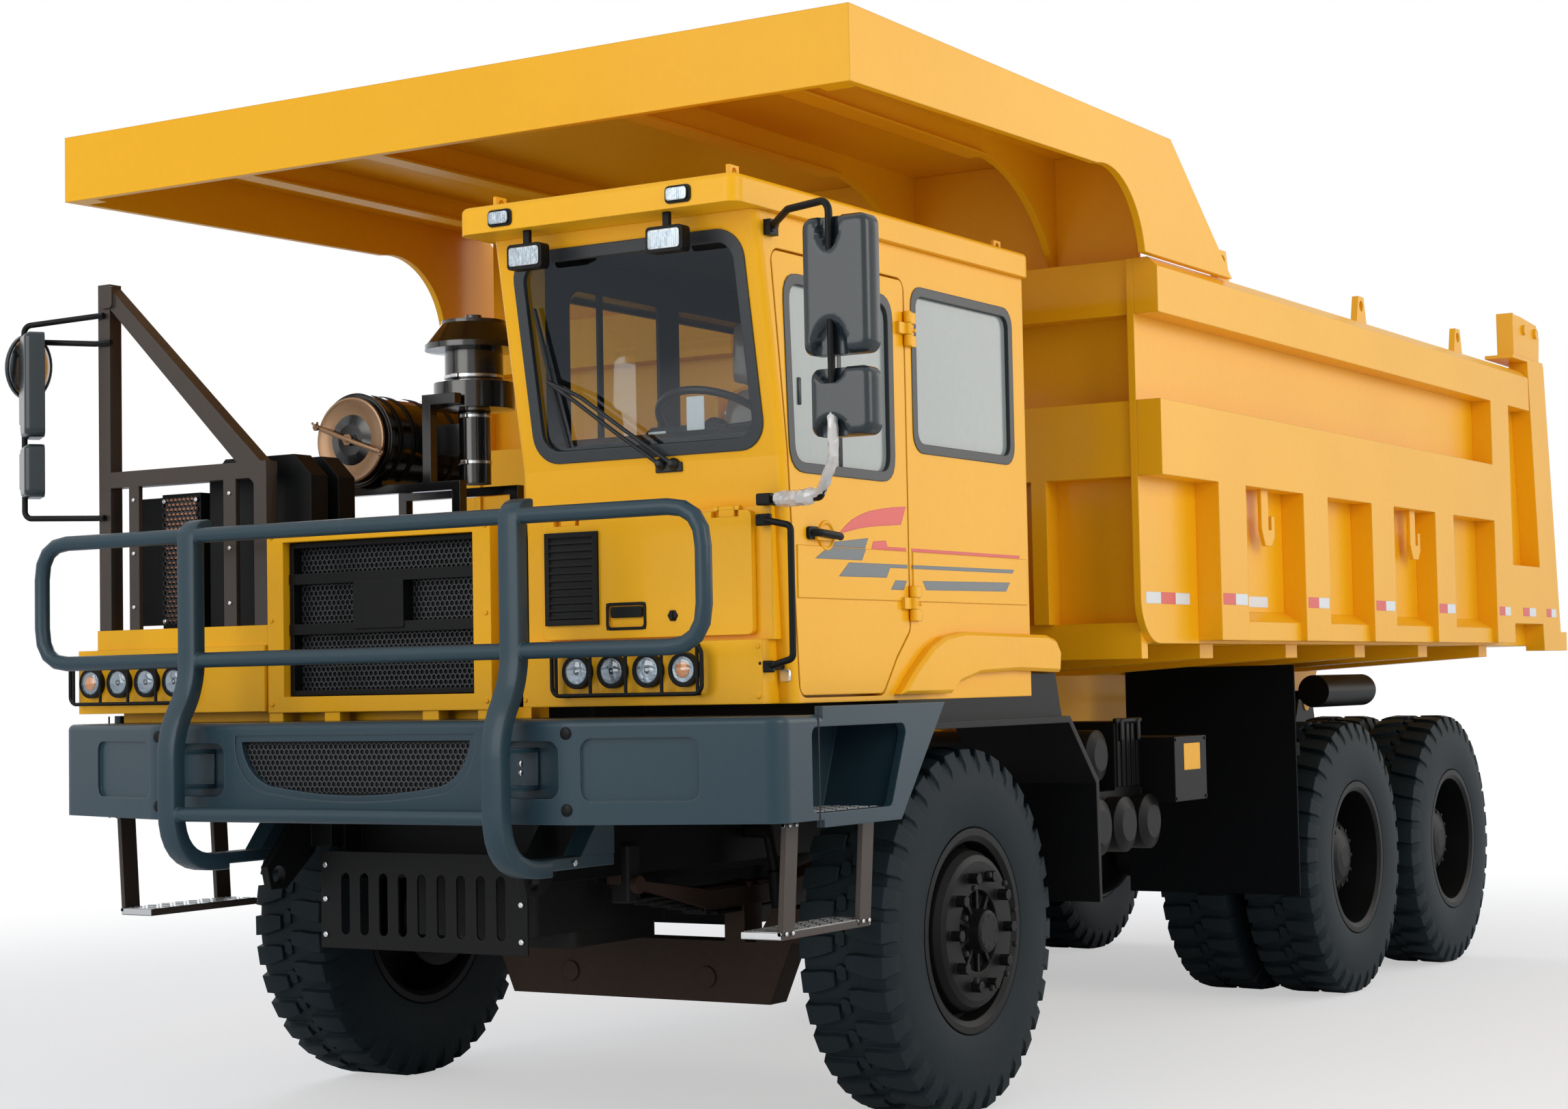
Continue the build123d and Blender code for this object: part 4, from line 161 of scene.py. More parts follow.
def node_group(name, inputs, outputs):
    """A new shader group with float inputs and the named outputs, and its in and out nodes."""
    group = bpy.data.node_groups.new(name, "ShaderNodeTree")
    for label, value in inputs:
        socket = group.interface.new_socket(label, in_out="INPUT", socket_type="NodeSocketFloat")
        socket.default_value = value
    for label, kind in outputs:
        group.interface.new_socket(label, in_out="OUTPUT", socket_type=kind)
    GROUPS[name] = group
    return group, group.nodes.new("NodeGroupInput"), group.nodes.new("NodeGroupOutput")


GROUPS = {}
group, given, result = node_group("dust_mask", [("Height", 1.4), ("Amount", 0.5)],
                                  [("Mask", "NodeSocketFloat")])
spot = add_node(group, "NewGeometry")
split = add_node(group, "SeparateXYZ")
facing = add_node(group, "SeparateXYZ")
low = add_node(group, "Math", operation="DIVIDE")
fade = add_node(group, "Math", {0: 1.0}, operation="SUBTRACT", use_clamp=True)
speck = add_node(group, "TexNoise", {"Scale": 3.5, "Detail": 6.0, "Roughness": 0.65})
spread = add_node(group, "MapRange", {"From Min": 0.35, "From Max": 0.75})
top_share = add_node(group, "Math", {1: 0.45}, operation="MULTIPLY_ADD", use_clamp=True)
mixed = add_node(group, "Math", operation="MULTIPLY")
final = add_node(group, "Math", operation="MULTIPLY", use_clamp=True)
wire(group, (spot, "Position", split, 0), (spot, "Position", speck, "Vector"), (spot, "Normal", facing, 0),
     (split, "Z", low, 0), (given, "Height", low, 1), (low, 0, fade, 1), (facing, "Z", top_share, 0),
     (fade, 0, top_share, 2), (speck, "Fac", spread, "Value"), (top_share, 0, mixed, 0),
     (spread, 0, mixed, 1), (mixed, 0, final, 0), (given, "Amount", final, 1), (final, 0, result, "Mask"))
group, given, result = node_group("soft_edge", [("Radius", 0.006), ("Grain", 240.0), ("Depth", 0.15)],
                                  [("Normal", "NodeSocketVector"), ("Wear", "NodeSocketFloat")])
bevel = add_node(group, "Bevel", samples=4)
sharp = add_node(group, "NewGeometry")
dot = add_node(group, "VectorMath", operation="DOT_PRODUCT")
worn = add_node(group, "MapRange", {"From Min": 0.985, "From Max": 0.80})
grain = add_node(group, "TexNoise", {"Detail": 3.0})
peel = add_node(group, "Bump", {"Distance": 0.002})
wire(group, (given, "Radius", bevel, "Radius"), (bevel, 0, dot, 0), (sharp, "True Normal", dot, 1),
     (dot, "Value", worn, "Value"), (sharp, "Position", grain, "Vector"), (given, "Grain", grain, "Scale"),
     (grain, "Fac", peel, "Height"), (given, "Depth", peel, "Strength"), (bevel, 0, peel, "Normal"),
     (peel, 0, result, "Normal"), (worn, 0, result, "Wear"))
group, given, result = node_group("two_scale", [("Broad", 1.2), ("Fine", 30.0)],
                                  [("Value", "NodeSocketFloat")])
spot = add_node(group, "NewGeometry")
broad = add_node(group, "TexNoise", {"Detail": 4.0})
fine = add_node(group, "TexNoise", {"Detail": 2.0})
join = add_node(group, "Math", {1: 0.3}, operation="MULTIPLY_ADD")
wire(group, (spot, "Position", broad, "Vector"), (spot, "Position", fine, "Vector"),
     (given, "Broad", broad, "Scale"), (given, "Fine", fine, "Scale"), (fine, "Fac", join, 0),
     (broad, "Fac", join, 2), (join, 0, result, "Value"))

# Chassis: channel rails and cross members of welded steel, cast axles and hubs, tanks and hoist barrel, all
# sprayed black. The front axle is still in red-brown primer, the hoist's sleeves are ground bright, the flaps
# are rubber.
DUST = (0.24, 0.19, 0.13, 1)


def finish_material(name, dark, pale, rough, metal=0.0, coat=0.0, grain=240.0, depth=0.1, dust=0.25,
                    height=1.4, wear=None, radius=0.006, gloss=0.5):
    """Principled finish: two-tone colour, dust low down and on top faces, soft or worn edges."""
    look = bpy.data.materials.new(name)
    look.use_nodes = True
    tree = look.node_tree
    shader = tree.nodes["Principled BSDF"]
    tone = add_node(tree, "Group", node_tree=GROUPS["two_scale"])
    edge = add_node(tree, "Group", {"Radius": radius, "Grain": grain, "Depth": depth},
                    node_tree=GROUPS["soft_edge"])
    settle = add_node(tree, "Group", {"Height": height, "Amount": dust}, node_tree=GROUPS["dust_mask"])
    colour = add_node(tree, "Mix", {6: dark, 7: pale}, data_type="RGBA")
    wire(tree, (tone, "Value", colour, 0))
    if wear:
        bare = add_node(tree, "Mix", {7: wear}, data_type="RGBA")
        wire(tree, (edge, "Wear", bare, 0), (colour, 2, bare, 6))
        colour = bare
    dusty = add_node(tree, "Mix", {7: DUST}, data_type="RGBA")
    rougher = add_node(tree, "Math", {1: 0.4, 2: rough}, operation="MULTIPLY_ADD", use_clamp=True)
    wire(tree, (colour, 2, dusty, 6), (settle, "Mask", dusty, 0), (dusty, 2, shader, "Base Color"),
         (settle, "Mask", rougher, 0), (rougher, 0, shader, "Roughness"), (edge, "Normal", shader, "Normal"))
    for entry, value in (("Metallic", metal), ("Specular IOR Level", gloss), ("Coat Weight", coat),
                         ("Coat Roughness", 0.12)):
        shader.inputs[entry].default_value = value
    return look


def dress(look, *names):
    """Give a finish to the CAD pieces that are named, or whose material slot is."""
    for part in frame["record"]["subparts"]:
        if part["node"] in names or part["material_slot"] in names:
            for place in nodes[part["node"]].material_slots:
                place.material = look


BLACK = finish_material("black_enamel", (0.003, 0.0035, 0.004, 1), (0.006, 0.0065, 0.007, 1), 0.42, dust=0.02,
                        wear=(0.02, 0.02, 0.02, 1), gloss=0.14)
IRON = finish_material("cast_iron", (0.006, 0.007, 0.008, 1), (0.014, 0.014, 0.014, 1), 0.50, grain=90.0,
                       depth=0.4, dust=0.04, gloss=0.15)
RUSTY = finish_material("primed_axle_iron", (0.022, 0.012, 0.008, 1), (0.045, 0.026, 0.018, 1), 0.6,
                        grain=90.0, depth=0.4, dust=0.04, gloss=0.2)
BRIGHT = finish_material("bright_steel", (0.55, 0.56, 0.58, 1), (0.70, 0.71, 0.73, 1), 0.22, metal=1.0,
                         dust=0.1)
RUBBER = finish_material("flap_rubber", (0.002, 0.003, 0.004, 1), (0.004, 0.005, 0.006, 1), 0.65, grain=120.0,
                         depth=0.3, dust=0.0, gloss=0.06)
dress(BLACK, "black_steel")
dress(IRON, "engine_iron")
dress(RUSTY, "front_axle")
dress(BRIGHT, "bright_steel")
dress(RUBBER, "black_rubber")

# Engine sump with its flange bolts, the gearbox case behind it, and the front spring packs with their clips:
# dark castings and forged leaves, bolted up between the rails, that close the view between the bumper and the
# axle.
ORIGIN_Y = 2466.0


def at(x, y, z):
    """A drawing point, in millimetres with Y from the front axle, as a scene point in metres."""
    return Vector((x / 1000.0, (y - ORIGIN_Y) / 1000.0, z / 1000.0))


def add_box(bm, x0, x1, y0, y1, z0, z1, cut=0.0):
    """A rectangular block whose outer edges are cut off by a small chamfer."""
    corners = [bm.verts.new(at(x, y, z)) for x in (x0, x1) for y in (y0, y1) for z in (z0, z1)]
    faces = [bm.faces.new([corners[i] for i in ring]) for ring in
             ((0, 1, 3, 2), (4, 6, 7, 5), (0, 4, 5, 1), (2, 3, 7, 6), (0, 2, 6, 4), (1, 5, 7, 3))]
    if cut:
        edges = list({edge for face in faces for edge in face.edges})
        bmesh.ops.bevel(bm, geom=edges, offset=cut / 1000.0, segments=1, affect="EDGES")


def loops_to_faces(bm, rings, joined=False):
    """Faces between neighbouring rings of points; the end rings are capped flat, or joined to each other."""
    made = [[bm.verts.new(point) for point in ring] for ring in rings]
    count = len(made[0])
    for near, far in zip(made, made[1:] + made[:1] if joined else made[1:]):
        for i in range(count):
            j = (i + 1) % count
            bm.faces.new((near[i], near[j], far[j], far[i]))
    if not joined:
        bm.faces.new(list(reversed(made[0])))
        bm.faces.new(made[-1])


def square_to(heading):
    """A direction square to a heading."""
    guide = Vector((0, 0, 1)) if abs(heading.z) < 0.9 else Vector((1, 0, 0))
    return heading.cross(guide).normalized()


def ring_round(middle, u, v, radius, sides):
    """Points evenly spaced on a circle in the plane of two square directions."""
    angles = [2 * math.pi * k / sides for k in range(sides)]
    return [middle + (u * math.cos(a) + v * math.sin(a)) * radius / 1000.0 for a in angles]


def add_turned(bm, centre, axis, profile, sides=32):
    """A turned piece: (distance along the axis, radius) points spun about a line through a drawing point."""
    heading = Vector(axis).normalized()
    u = square_to(heading)
    v = heading.cross(u)
    middle = at(*centre)
    rings = [ring_round(middle + heading * along / 1000.0, u, v, radius, sides) for along, radius in profile]
    loops_to_faces(bm, rings)


def rounded(a0, a1, b0, b1, radius, steps=5):
    """Corner-rounded rectangle as (a, b) points, counter-clockwise."""
    points = []
    for ca, cb, turn_from in ((a1 - radius, b0 + radius, -90), (a1 - radius, b1 - radius, 0),
                              (a0 + radius, b1 - radius, 90), (a0 + radius, b0 + radius, 180)):
        for step in range(steps + 1):
            angle = math.radians(turn_from + 90.0 * step / steps)
            points.append((ca + radius * math.cos(angle), cb + radius * math.sin(angle)))
    return points


def add_hex(bm, x, y, z, axis, radius, tall):
    """A hexagon bolt head with a chamfered crown, standing on a face."""
    add_turned(bm, (x, y, z), axis, [(0, radius), (tall * 0.8, radius), (tall, radius * 0.82)], sides=6)


def finish_piece(name, bm, look, body="chassis", smooth=35.0):
    """Close a mesh into a named piece with its look, riding on a body of the frame."""
    bmesh.ops.recalc_face_normals(bm, faces=bm.faces)
    mesh = bpy.data.meshes.new(name)
    bm.to_mesh(mesh)
    bm.free()
    mesh.materials.append(look)
    mesh.set_sharp_from_angle(angle=math.radians(smooth))
    piece = bpy.data.objects.new(name, mesh)
    bpy.context.scene.collection.objects.link(piece)
    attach(piece, body)
    return piece


sump = bmesh.new()
for z0, z1, half, y0, y1 in ((905, 960, 330, -1160, -220), (700, 908, 290, -1120, -260),
                             (640, 702, 270, -860, -300)):
    loops_to_faces(sump, [[at(x, y, z) for x, y in rounded(-half, half, y0, y1, 50)] for z in (z0, z1)])
loops_to_faces(sump, [[at(x, y, z) for x, y in rounded(-half, half, 300, 940, 60)] for z, half in
                      ((622, 250), (700, 320), (900, 330))])
for side in (1, -1):
    for y in range(-1100, -240, 120):
        add_hex(sump, side * 310, y, 905, (0, 0, -1), 10, 9)
    for leaf in range(6):
        reach = 760 - leaf * 105
        add_box(sump, side * 395, side * 485, -reach, reach, 800 - leaf * 17, 814 - leaf * 17, 3)
    for y in (-300, 300):
        add_box(sump, side * 388, side * 492, y - 22, y + 22, 722, 822, 4)
    add_box(sump, side * 400, side * 480, -800, -720, 800, 1010, 8)
finish_piece("sump_and_springs", sump, IRON)

# Front running gear: pressed brake chambers clamped to the axle's ends, tube shock absorbers pinned between
# axle and rail, and bent steel brake pipes clipped along both rails; all painted black.


def ease_corner(before, corner, after, reach, steps):
    """Points of a smooth bend that leaves its two runs at a reach from the corner."""
    first = corner + (before - corner).normalized() * reach
    last = corner + (after - corner).normalized() * reach
    shares = [step / steps for step in range(steps + 1)]
    return [first * (1 - t) ** 2 + corner * 2 * t * (1 - t) + last * t * t for t in shares]


def add_tube(bm, points, radius, sides=10, bend=0.0):
    """A round tube through drawing points, each corner eased when a bend is given."""
    path = [at(*point) for point in points]
    if bend:
        bends = [ease_corner(*trio, bend / 1000.0, 4) for trio in zip(path, path[1:], path[2:])]
        path = [path[0], *(spot for eased in bends for spot in eased), path[-1]]
    rings = []
    normal = None
    for i, point in enumerate(path):
        ahead = path[min(i + 1, len(path) - 1)] - point
        behind = point - path[max(i - 1, 0)]
        heading = (ahead.normalized() + behind.normalized()).normalized()
        if normal is None:
            normal = square_to(heading)
        normal = (normal - heading * normal.dot(heading)).normalized()
        rings.append(ring_round(point, normal, heading.cross(normal), radius, sides))
    loops_to_faces(bm, rings)


gear = bmesh.new()
for side in (1, -1):
    add_turned(gear, (side * 640, 150, 640), (0, -1, 0.25), [(0, 62), (30, 76), (44, 80), (52, 80), (66, 74),
                                                             (96, 40), (98, 16), (130, 14)], 22)
    add_tube(gear, [(side * 560, 110, 560), (side * 560, 70, 790), (side * 560, 60, 860)], 30, 14)
    add_tube(gear, [(side * 560, 60, 860), (side * 540, 40, 1010)], 20, 12)
    add_turned(gear, (side * 452, 40, 1010), (side, 0, 0), [(0, 26), (100, 26), (104, 20)], 14)
finish_piece("axle_fittings", gear, IRON)
pipes = bmesh.new()
for x, y0, y1 in ((470, 700, 3200), (-470, 1000, 3300)):
    add_tube(pipes, [(x, y0, 1272), (x, y1, 1272), (x * 0.9, y1 + 60, 1267)], 7, 8, 30)
finish_piece("brake_pipes", pipes, BLACK)

# Fittings between the axles: the battery box's lid strap and its blank yellow label, steel bands and drain
# plugs on the air tanks, and the fuel tank's turned filler cap; bolted or strapped over the black sheet.


def add_slab(bm, outline, lift, near, far):
    """A flat plate: outline points lifted into drawing points at a near and a far level."""
    loops_to_faces(bm, [[at(*lift(a, b, level)) for a, b in outline] for level in (near, far)])


def side_lift(a, b, level):
    """(Y, Z) outline points on a plane across the truck at an X level."""
    return level, a, b


YELLOW = finish_material("yellow_enamel", (0.82, 0.385, 0.003, 1), (0.92, 0.46, 0.006, 1), 0.38, coat=0.08,
                         grain=160.0, depth=0.04, dust=0.05, gloss=0.24)
fittings = bmesh.new()
add_box(fittings, 1236, 1256, 1674, 1935, 1376, 1396, 4)
for y in (1720, 1890):
    add_box(fittings, 1250, 1262, y - 14, y + 14, 1300, 1390, 3)
for y in (1369, 1617, 1866):
    for x in (700, 1180):
        add_turned(fittings, (x, y, 958), (1, 0, 0), [(0, 115.4), (0, 119), (34, 119), (34, 115.4)], 36)
    add_turned(fittings, (1000, y, 843), (0, 0, -1), [(-2, 14), (12, 14), (20, 8)], 6)
add_turned(fittings, (-1180, 1500, 1330), (0, 0, 1), [(-2, 58), (14, 58), (18, 66), (34, 66), (40, 56)], 28)
add_tube(fittings, [(-1190, 1500, 1372), (-1160, 1500, 1384)], 9, 8)
for y in (1950, 2268):
    for z in (1048, 1298):
        add_hex(fittings, 1400, y, z, (1, 0, 0), 7, 5)
finish_piece("chassis_fittings", fittings, BLACK)
label = bmesh.new()
add_slab(label, rounded(2036, 2211, 1166, 1280, 6), side_lift, 1400.3, 1401.2)
finish_piece("blank_label", label, YELLOW)

# Tail lamps: a black pressed shell with a red and an amber moulded lens, bolted to the last cross member on
# each side. The photograph doesn't show them, so they are plain.


def front_lift(a, b, level):
    """(X, Z) outline points on a plane along the truck at a Y level."""
    return a, level, b


RED = finish_material("stripe_red", (0.62, 0.030, 0.022, 1), (0.70, 0.045, 0.030, 1), 0.4, coat=0.2,
                      dust=0.05)
AMBER = finish_material("amber_lens", (0.75, 0.20, 0.01, 1), (0.85, 0.28, 0.02, 1), 0.12, coat=1.0, dust=0.0)
shell, red_lens, amber_lens = bmesh.new(), bmesh.new(), bmesh.new()
for x in (-330, 330):
    add_box(shell, x - 150, x + 150, 6212, 6262, 1120, 1225, 8)
    add_slab(red_lens, rounded(x - 140, x + 10, 1130, 1215, 12), front_lift, 6261, 6268)
    add_slab(amber_lens, rounded(x + 20, x + 140, 1130, 1215, 12), front_lift, 6261, 6268)
finish_piece("tail_lamp_shells", shell, BLACK)
finish_piece("tail_lamp_red", red_lens, RED)
finish_piece("tail_lamp_amber", amber_lens, AMBER)

# Road tyres: rubber casings moulded with staggered shoulder lugs and centre blocks, and seated on the rims'
# beads. A front wheel has one tyre, a rear wheel has two side by side on its hub; they stand for the plain
# CAD tyres.


def add_tyre(bm, centre_x, centre_y):
    """A tyre standing at a drawing place: its casing, and on it the tread blocks of every pitch."""
    section = CASING + [(-x, radius) for x, radius in reversed(CASING)]
    angles = [2 * math.pi * k / CASING_SIDES for k in range(CASING_SIDES)]
    loops_to_faces(bm, [[at(centre_x + x, centre_y + radius * math.cos(a), WHEEL_Z + radius * math.sin(a))
                         for x, radius in section] for a in angles], joined=True)
    for number in range(TREAD_PITCHES):
        start = number * PITCH - math.pi / 2
        add_lug(bm, centre_x, centre_y, 1, start, SHOULDER_BLOCK)
        add_lug(bm, centre_x, centre_y, -1, start + PITCH / 2, SHOULDER_BLOCK)
        add_lug(bm, centre_x, centre_y, 1, start + PITCH * 0.27, CENTRE_BLOCK, 8.0)


def add_lug(bm, cx, cy, side, middle, rows, sink=0.0):
    """One tread block at an angle round the wheel, flat across its top; a centre block is sunk a little."""
    top, foot = [], []
    for x, half, skew in rows:
        drop, floor = next(step[1:] for step in SHOULDER_STEPS if abs(x) < step[0])
        reach = TREAD_RADIUS - drop - sink
        for sign in (-1, 1):
            angle = middle + (skew + sign * half) * PITCH
            crown = reach if drop else reach / math.cos(angle - middle)
            top.append(at(cx + side * x, cy + crown * math.cos(angle), WHEEL_Z + crown * math.sin(angle)))
            wide = middle + (skew + sign * (half + 0.035)) * PITCH
            foot.append(at(cx + side * x, cy + floor * math.cos(wide), WHEEL_Z + floor * math.sin(wide)))
    top = [bm.verts.new(p) for p in top]
    foot = [bm.verts.new(p) for p in foot]
    last = len(top) - 2
    for i in range(0, last, 2):
        bm.faces.new((top[i], top[i + 1], top[i + 3], top[i + 2]))
        bm.faces.new((top[i], top[i + 2], foot[i + 2], foot[i]))
        bm.faces.new((top[i + 3], top[i + 1], foot[i + 1], foot[i + 3]))
    bm.faces.new((top[1], top[0], foot[0], foot[1]))
    bm.faces.new((top[last], top[last + 1], foot[last + 1], foot[last]))


TYRE = finish_material("tyre_rubber", (0.006, 0.011, 0.014, 1), (0.012, 0.020, 0.025, 1), 0.55, grain=200.0,
                       depth=0.4, dust=0.02, height=1.0, gloss=0.12)
dress(TYRE, "tyre_rubber")
WHEELS = (("front_wheel_left", 1258, 0), ("front_wheel_right", -1258, 0), ("rear_wheel_1_left", 1040, 4080),
          ("rear_wheel_1_right", -1040, 4080), ("rear_wheel_2_left", 1040, 5590),
          ("rear_wheel_2_right", -1040, 5590))
WHEEL_Z = 665
TWIN_OFFSETS = (-215, 215)
TREAD_RADIUS = 663.4
TREAD_PITCHES = 34
PITCH = 2 * math.pi / TREAD_PITCHES
# The casing's half section, from its bead outward, as (distance from the wheel's middle, radius)
CASING = [(150, 337), (166, 368), (178, 376), (185, 410), (188, 470), (187, 520), (182, 566), (172, 604),
          (158, 630), (118, 641), (40, 643)]
CASING_SIDES = 68
# Rows of a block: distance from the wheel's middle, and half width and skew in pitches
SHOULDER_BLOCK = ((26, 0.20, -0.05), (70, 0.27, 0.0), (120, 0.30, 0.07), (163, 0.31, 0.10), (182, 0.25, 0.10))
CENTRE_BLOCK = ((-19, 0.17, -0.02), (0, 0.24, 0.0), (19, 0.17, 0.02))
# Up to each distance from the wheel's middle: how far a row lies below the tread, and the radius of its foot
SHOULDER_STEPS = ((150, 0, 638.0), (170, 8, 624.0), (200, 66, 560.0))
for body, x, y in WHEELS:
    front = "front" in body
    bm = bmesh.new()
    for offset in (0,) if front else TWIN_OFFSETS:
        add_tyre(bm, x + offset, y)
    node = body.replace("wheel", "tyre" if front else "tyres")
    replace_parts(finish_piece("lugged_" + node, bm, TYRE, body, 32.0), node)

# Wheel hardware: forged disc nuts and cap bolts screwed up on turned hubs, and bent valve stems through the
# discs. Both are sprayed with the wheels.
FRONT_VALVE = ((158, 296), (190, 268), (206, 262))
REAR_VALVE = ((58, 306), (150, 300))
# Rings of bolts: outward from the wheel's middle, how many, ring radius, head radius, height, first angle
FRONT_BOLTS = ((235, 8, 56, 8, 8, 0.0), (239, 10, 202, 12, 14, math.pi / 2))
REAR_BOLTS = ((11.8, 10, 244, 21, 32, 0.0), (303, 12, 140, 10, 8, 0.0))
for body, x, y in WHEELS:
    side = 1 if x > 0 else -1
    rings, valve = (FRONT_BOLTS, FRONT_VALVE) if "front" in body else (REAR_BOLTS, REAR_VALVE)
    bm = bmesh.new()
    for out, count, ring, radius, tall, first in rings:
        for k in range(count):
            a = first + 2 * math.pi * k / count
            place = (x + side * out, y + ring * math.cos(a), WHEEL_Z + ring * math.sin(a))
            add_hex(bm, *place, (side, 0, 0), radius, tall)
    add_tube(bm, [(x + side * out, y + behind, WHEEL_Z) for out, behind in valve], 5, 6)
    finish_piece("hardware_" + body, bm, IRON, body)

# Bumper: a slate enamelled steel shell with pressed walls behind the boarding opening in each end, black
# rubber plugs in its access holes and a drip edge on its wraps; the ladders hung under it are in dark enamel
# whose brown cast is a painted reflection of the yellow paint.
SLATE = finish_material("slate_enamel", (0.014, 0.036, 0.050, 1), (0.022, 0.048, 0.066, 1), 0.38, coat=0.12,
                        grain=500.0, depth=0.15, dust=0.0, wear=(0.08, 0.11, 0.13, 1), gloss=0.25)
# Dark enamel of the ladders and the mirror frame: the brown in its colour is a painted reflection of the
# yellow paint.
DARK_ENAMEL_PAINTED_REFLECTION = finish_material("dark_enamel_painted_reflection", (0.030, 0.021, 0.016, 1), (0.048, 0.034, 0.026, 1), 0.36,
                        coat=0.2, dust=0.0, gloss=0.3)
dress(SLATE, "slate_steel")
dress(DARK_ENAMEL_PAINTED_REFLECTION, "ladders", "mirror_frame")
POCKET_WALL = 5
pocket = bmesh.new()
walls = [(-1336, 1152), (-800, 1152), (-690, 1436), (-1336, 1436)]
for side in (1, -1):
    add_slab(pocket, walls, side_lift, side * 1284, side * 1290)
    for (y0, z0), (y1, z1) in zip(walls[1:], walls[2:] + walls[:1]):
        length = math.hypot(y1 - y0, z1 - z0)
        ny, nz = (z1 - z0) / length * POCKET_WALL, -(y1 - y0) / length * POCKET_WALL
        wall = [(y0, z0), (y1, z1), (y1 + ny, z1 + nz), (y0 + ny, z0 + nz)]
        add_slab(pocket, wall, side_lift, side * 1288, side * 1562)
finish_piece("boarding_pocket", pocket, SLATE)
plugs = bmesh.new()
for side in (1, -1):
    for z in (1180, 1424):
        add_turned(plugs, (side * 890, -1720, z), (0, -1, 0), [(-2, 20), (3, 20), (6, 15), (7, 6)], 20)
    add_slab(plugs, [(-1292, 1110), (-1284, 1110), (-1284, 1494), (-1292, 1494)], side_lift, side * 1570.1,
             side * 1570.9)
finish_piece("bumper_plugs", plugs, BLACK)

# Step treads: bright aluminium chequer plates riveted on the bumper's steps and on the ladders' lowest rungs,
# where a folded lip at each end holds them.


def plan_lift(a, b, level):
    """(X, Y) outline points on a level plane at a height."""
    return a, b, level


TREAD = finish_material("tread_aluminium", (0.50, 0.51, 0.52, 1), (0.66, 0.67, 0.68, 1), 0.34, metal=0.9,
                        dust=0.15)
BAR_PITCH = 36
treads = bmesh.new()
for side in (1, -1):
    for near, far, y0, y1, z in ((1292, 1538, -1255, -745, 1150.2), (1302, 1448, -1341, -779, 775.2)):
        x0, x1 = sorted((side * near, side * far))
        add_slab(treads, rounded(x0, x1, y0, y1, 12, 2), plan_lift, z, z + 3)
        for i in range(int((x1 - x0) / BAR_PITCH)):
            for j in range(int((y1 - y0) / BAR_PITCH)):
                x = x0 + 20 + i * BAR_PITCH
                y = y0 + 20 + j * BAR_PITCH
                lean = 1 if (i + j) % 2 else -1
                bar = [(x - 13 * lean, y - 9), (x - 10 * lean, y - 12), (x + 13 * lean, y + 9),
                       (x + 10 * lean, y + 12)]
                add_slab(treads, bar, plan_lift, z + 2.9, z + 5)
    for y0, y1 in ((-1348, -1343), (-777, -772)):
        add_box(treads, side * 1300, side * 1450, y0, y1, 754, 776, 1)
finish_piece("step_treads", treads, TREAD)

# Bull bar: two flat steel uprights bent in one sweep over the bumper, welded to channel brackets and feet,
# and a round tube loop with a lower tube let into them; all in the bumper's slate enamel.


def add_bent_bar(bm, x, path, bends, half_wide, half_thick):
    """A flat bar at X, its middle line bent smoothly through (Y, Z) points by the given distances."""
    line = [Vector((0, *spot)) for spot in path]
    eased = [ease_corner(*trio, bend, 8) for trio, bend in zip(zip(line, line[1:], line[2:]), bends)]
    line = [line[0], *(spot for bend in eased for spot in bend), line[-1]]
    rings = []
    for i, point in enumerate(line):
        heading = (line[min(i + 1, len(line) - 1)] - line[max(i - 1, 0)]).normalized()
        rings.append([at(x + a, point.y - heading.z * b, point.z + heading.y * b)
                      for a, b in rounded(-half_wide, half_wide, -half_thick, half_thick, 9, 2)])
    loops_to_faces(bm, rings)


RAIL_FRONT = -1250
BAR_X = 705
LOOP_Y, LOWER_Y = -1740, -1843
bar = bmesh.new()
for side in (1, -1):
    add_bent_bar(bar, side * BAR_X, [(-1680, 2154), (LOOP_Y, 2154), (LOOP_Y, 1600), (LOWER_Y, 1440),
                                     (LOWER_Y, 985), (-1600, 985)], (52, 92, 92, 190), 40, 30)
    inner, outer = side * (BAR_X - 36), side * (BAR_X + 36)
    for z in (1250, 1370):
        add_box(bar, inner, outer, -1820, -1660, z - 8, z + 8, 2)
    add_box(bar, inner, outer, -1670, -1660, 1250, 1370, 2)
    add_box(bar, inner, outer, -1640, RAIL_FRONT, 975, 1015, 4)
    add_slab(bar, [(-1440, 1014), (RAIL_FRONT, 1014), (RAIL_FRONT, 1133), (RAIL_FRONT - 90, 1133)], side_lift,
             inner, outer)
add_tube(bar, [(x, LOOP_Y, z) for x, z in ((0, 2125), (1440, 2125), (1440, 1690), (-1440, 1690),
                                           (-1440, 2125), (0, 2125))], 27, 18, 130)
add_tube(bar, [(-BAR_X, LOWER_Y, 1160), (BAR_X, LOWER_Y, 1160)], 25, 18)
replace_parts(finish_piece("bull_bar_swept", bar, SLATE, smooth=40.0), "bull_bar")

# Outer bolts: bright zinc-plated hexagon heads that hold the bull bar's brackets, the ladders, the sump
# guard, the deck frame and the cooler's perforated sheet.
bolts = bmesh.new()
for side in (1, -1):
    for y, z, radius in ((-1765, 1300, 11), (-1765, 1330, 11), (-1480, 995, 12)):
        add_hex(bolts, side * 741, y, z, (side, 0, 0), radius, 9)
    for y in (-1305, -815):
        for dy in (-20, 20):
            for x, z in ((1476, 1118), (1455, 772)):
                add_hex(bolts, side * x, y + dy, z, (side, 0, 0), 8, 7)
                add_hex(bolts, side * (x - 9), y - 38, z, (0, -1, 0), 8, 7)
    for z in (715, 840, 960):
        add_hex(bolts, side * 432, -1360, z, (0, -1, 0), 11, 8)
for x in (-1320, -840):
    for z in (1900, 2100, 2300):
        add_hex(bolts, x, -1400, z, (0, -1, 0), 8, 6)
for x in (-1266, -1104):
    for z in (1846, 2296):
        add_hex(bolts, x, -1296, z, (0, -1, 0), 9, 6)
finish_piece("zinc_bolts", bolts, BRIGHT)

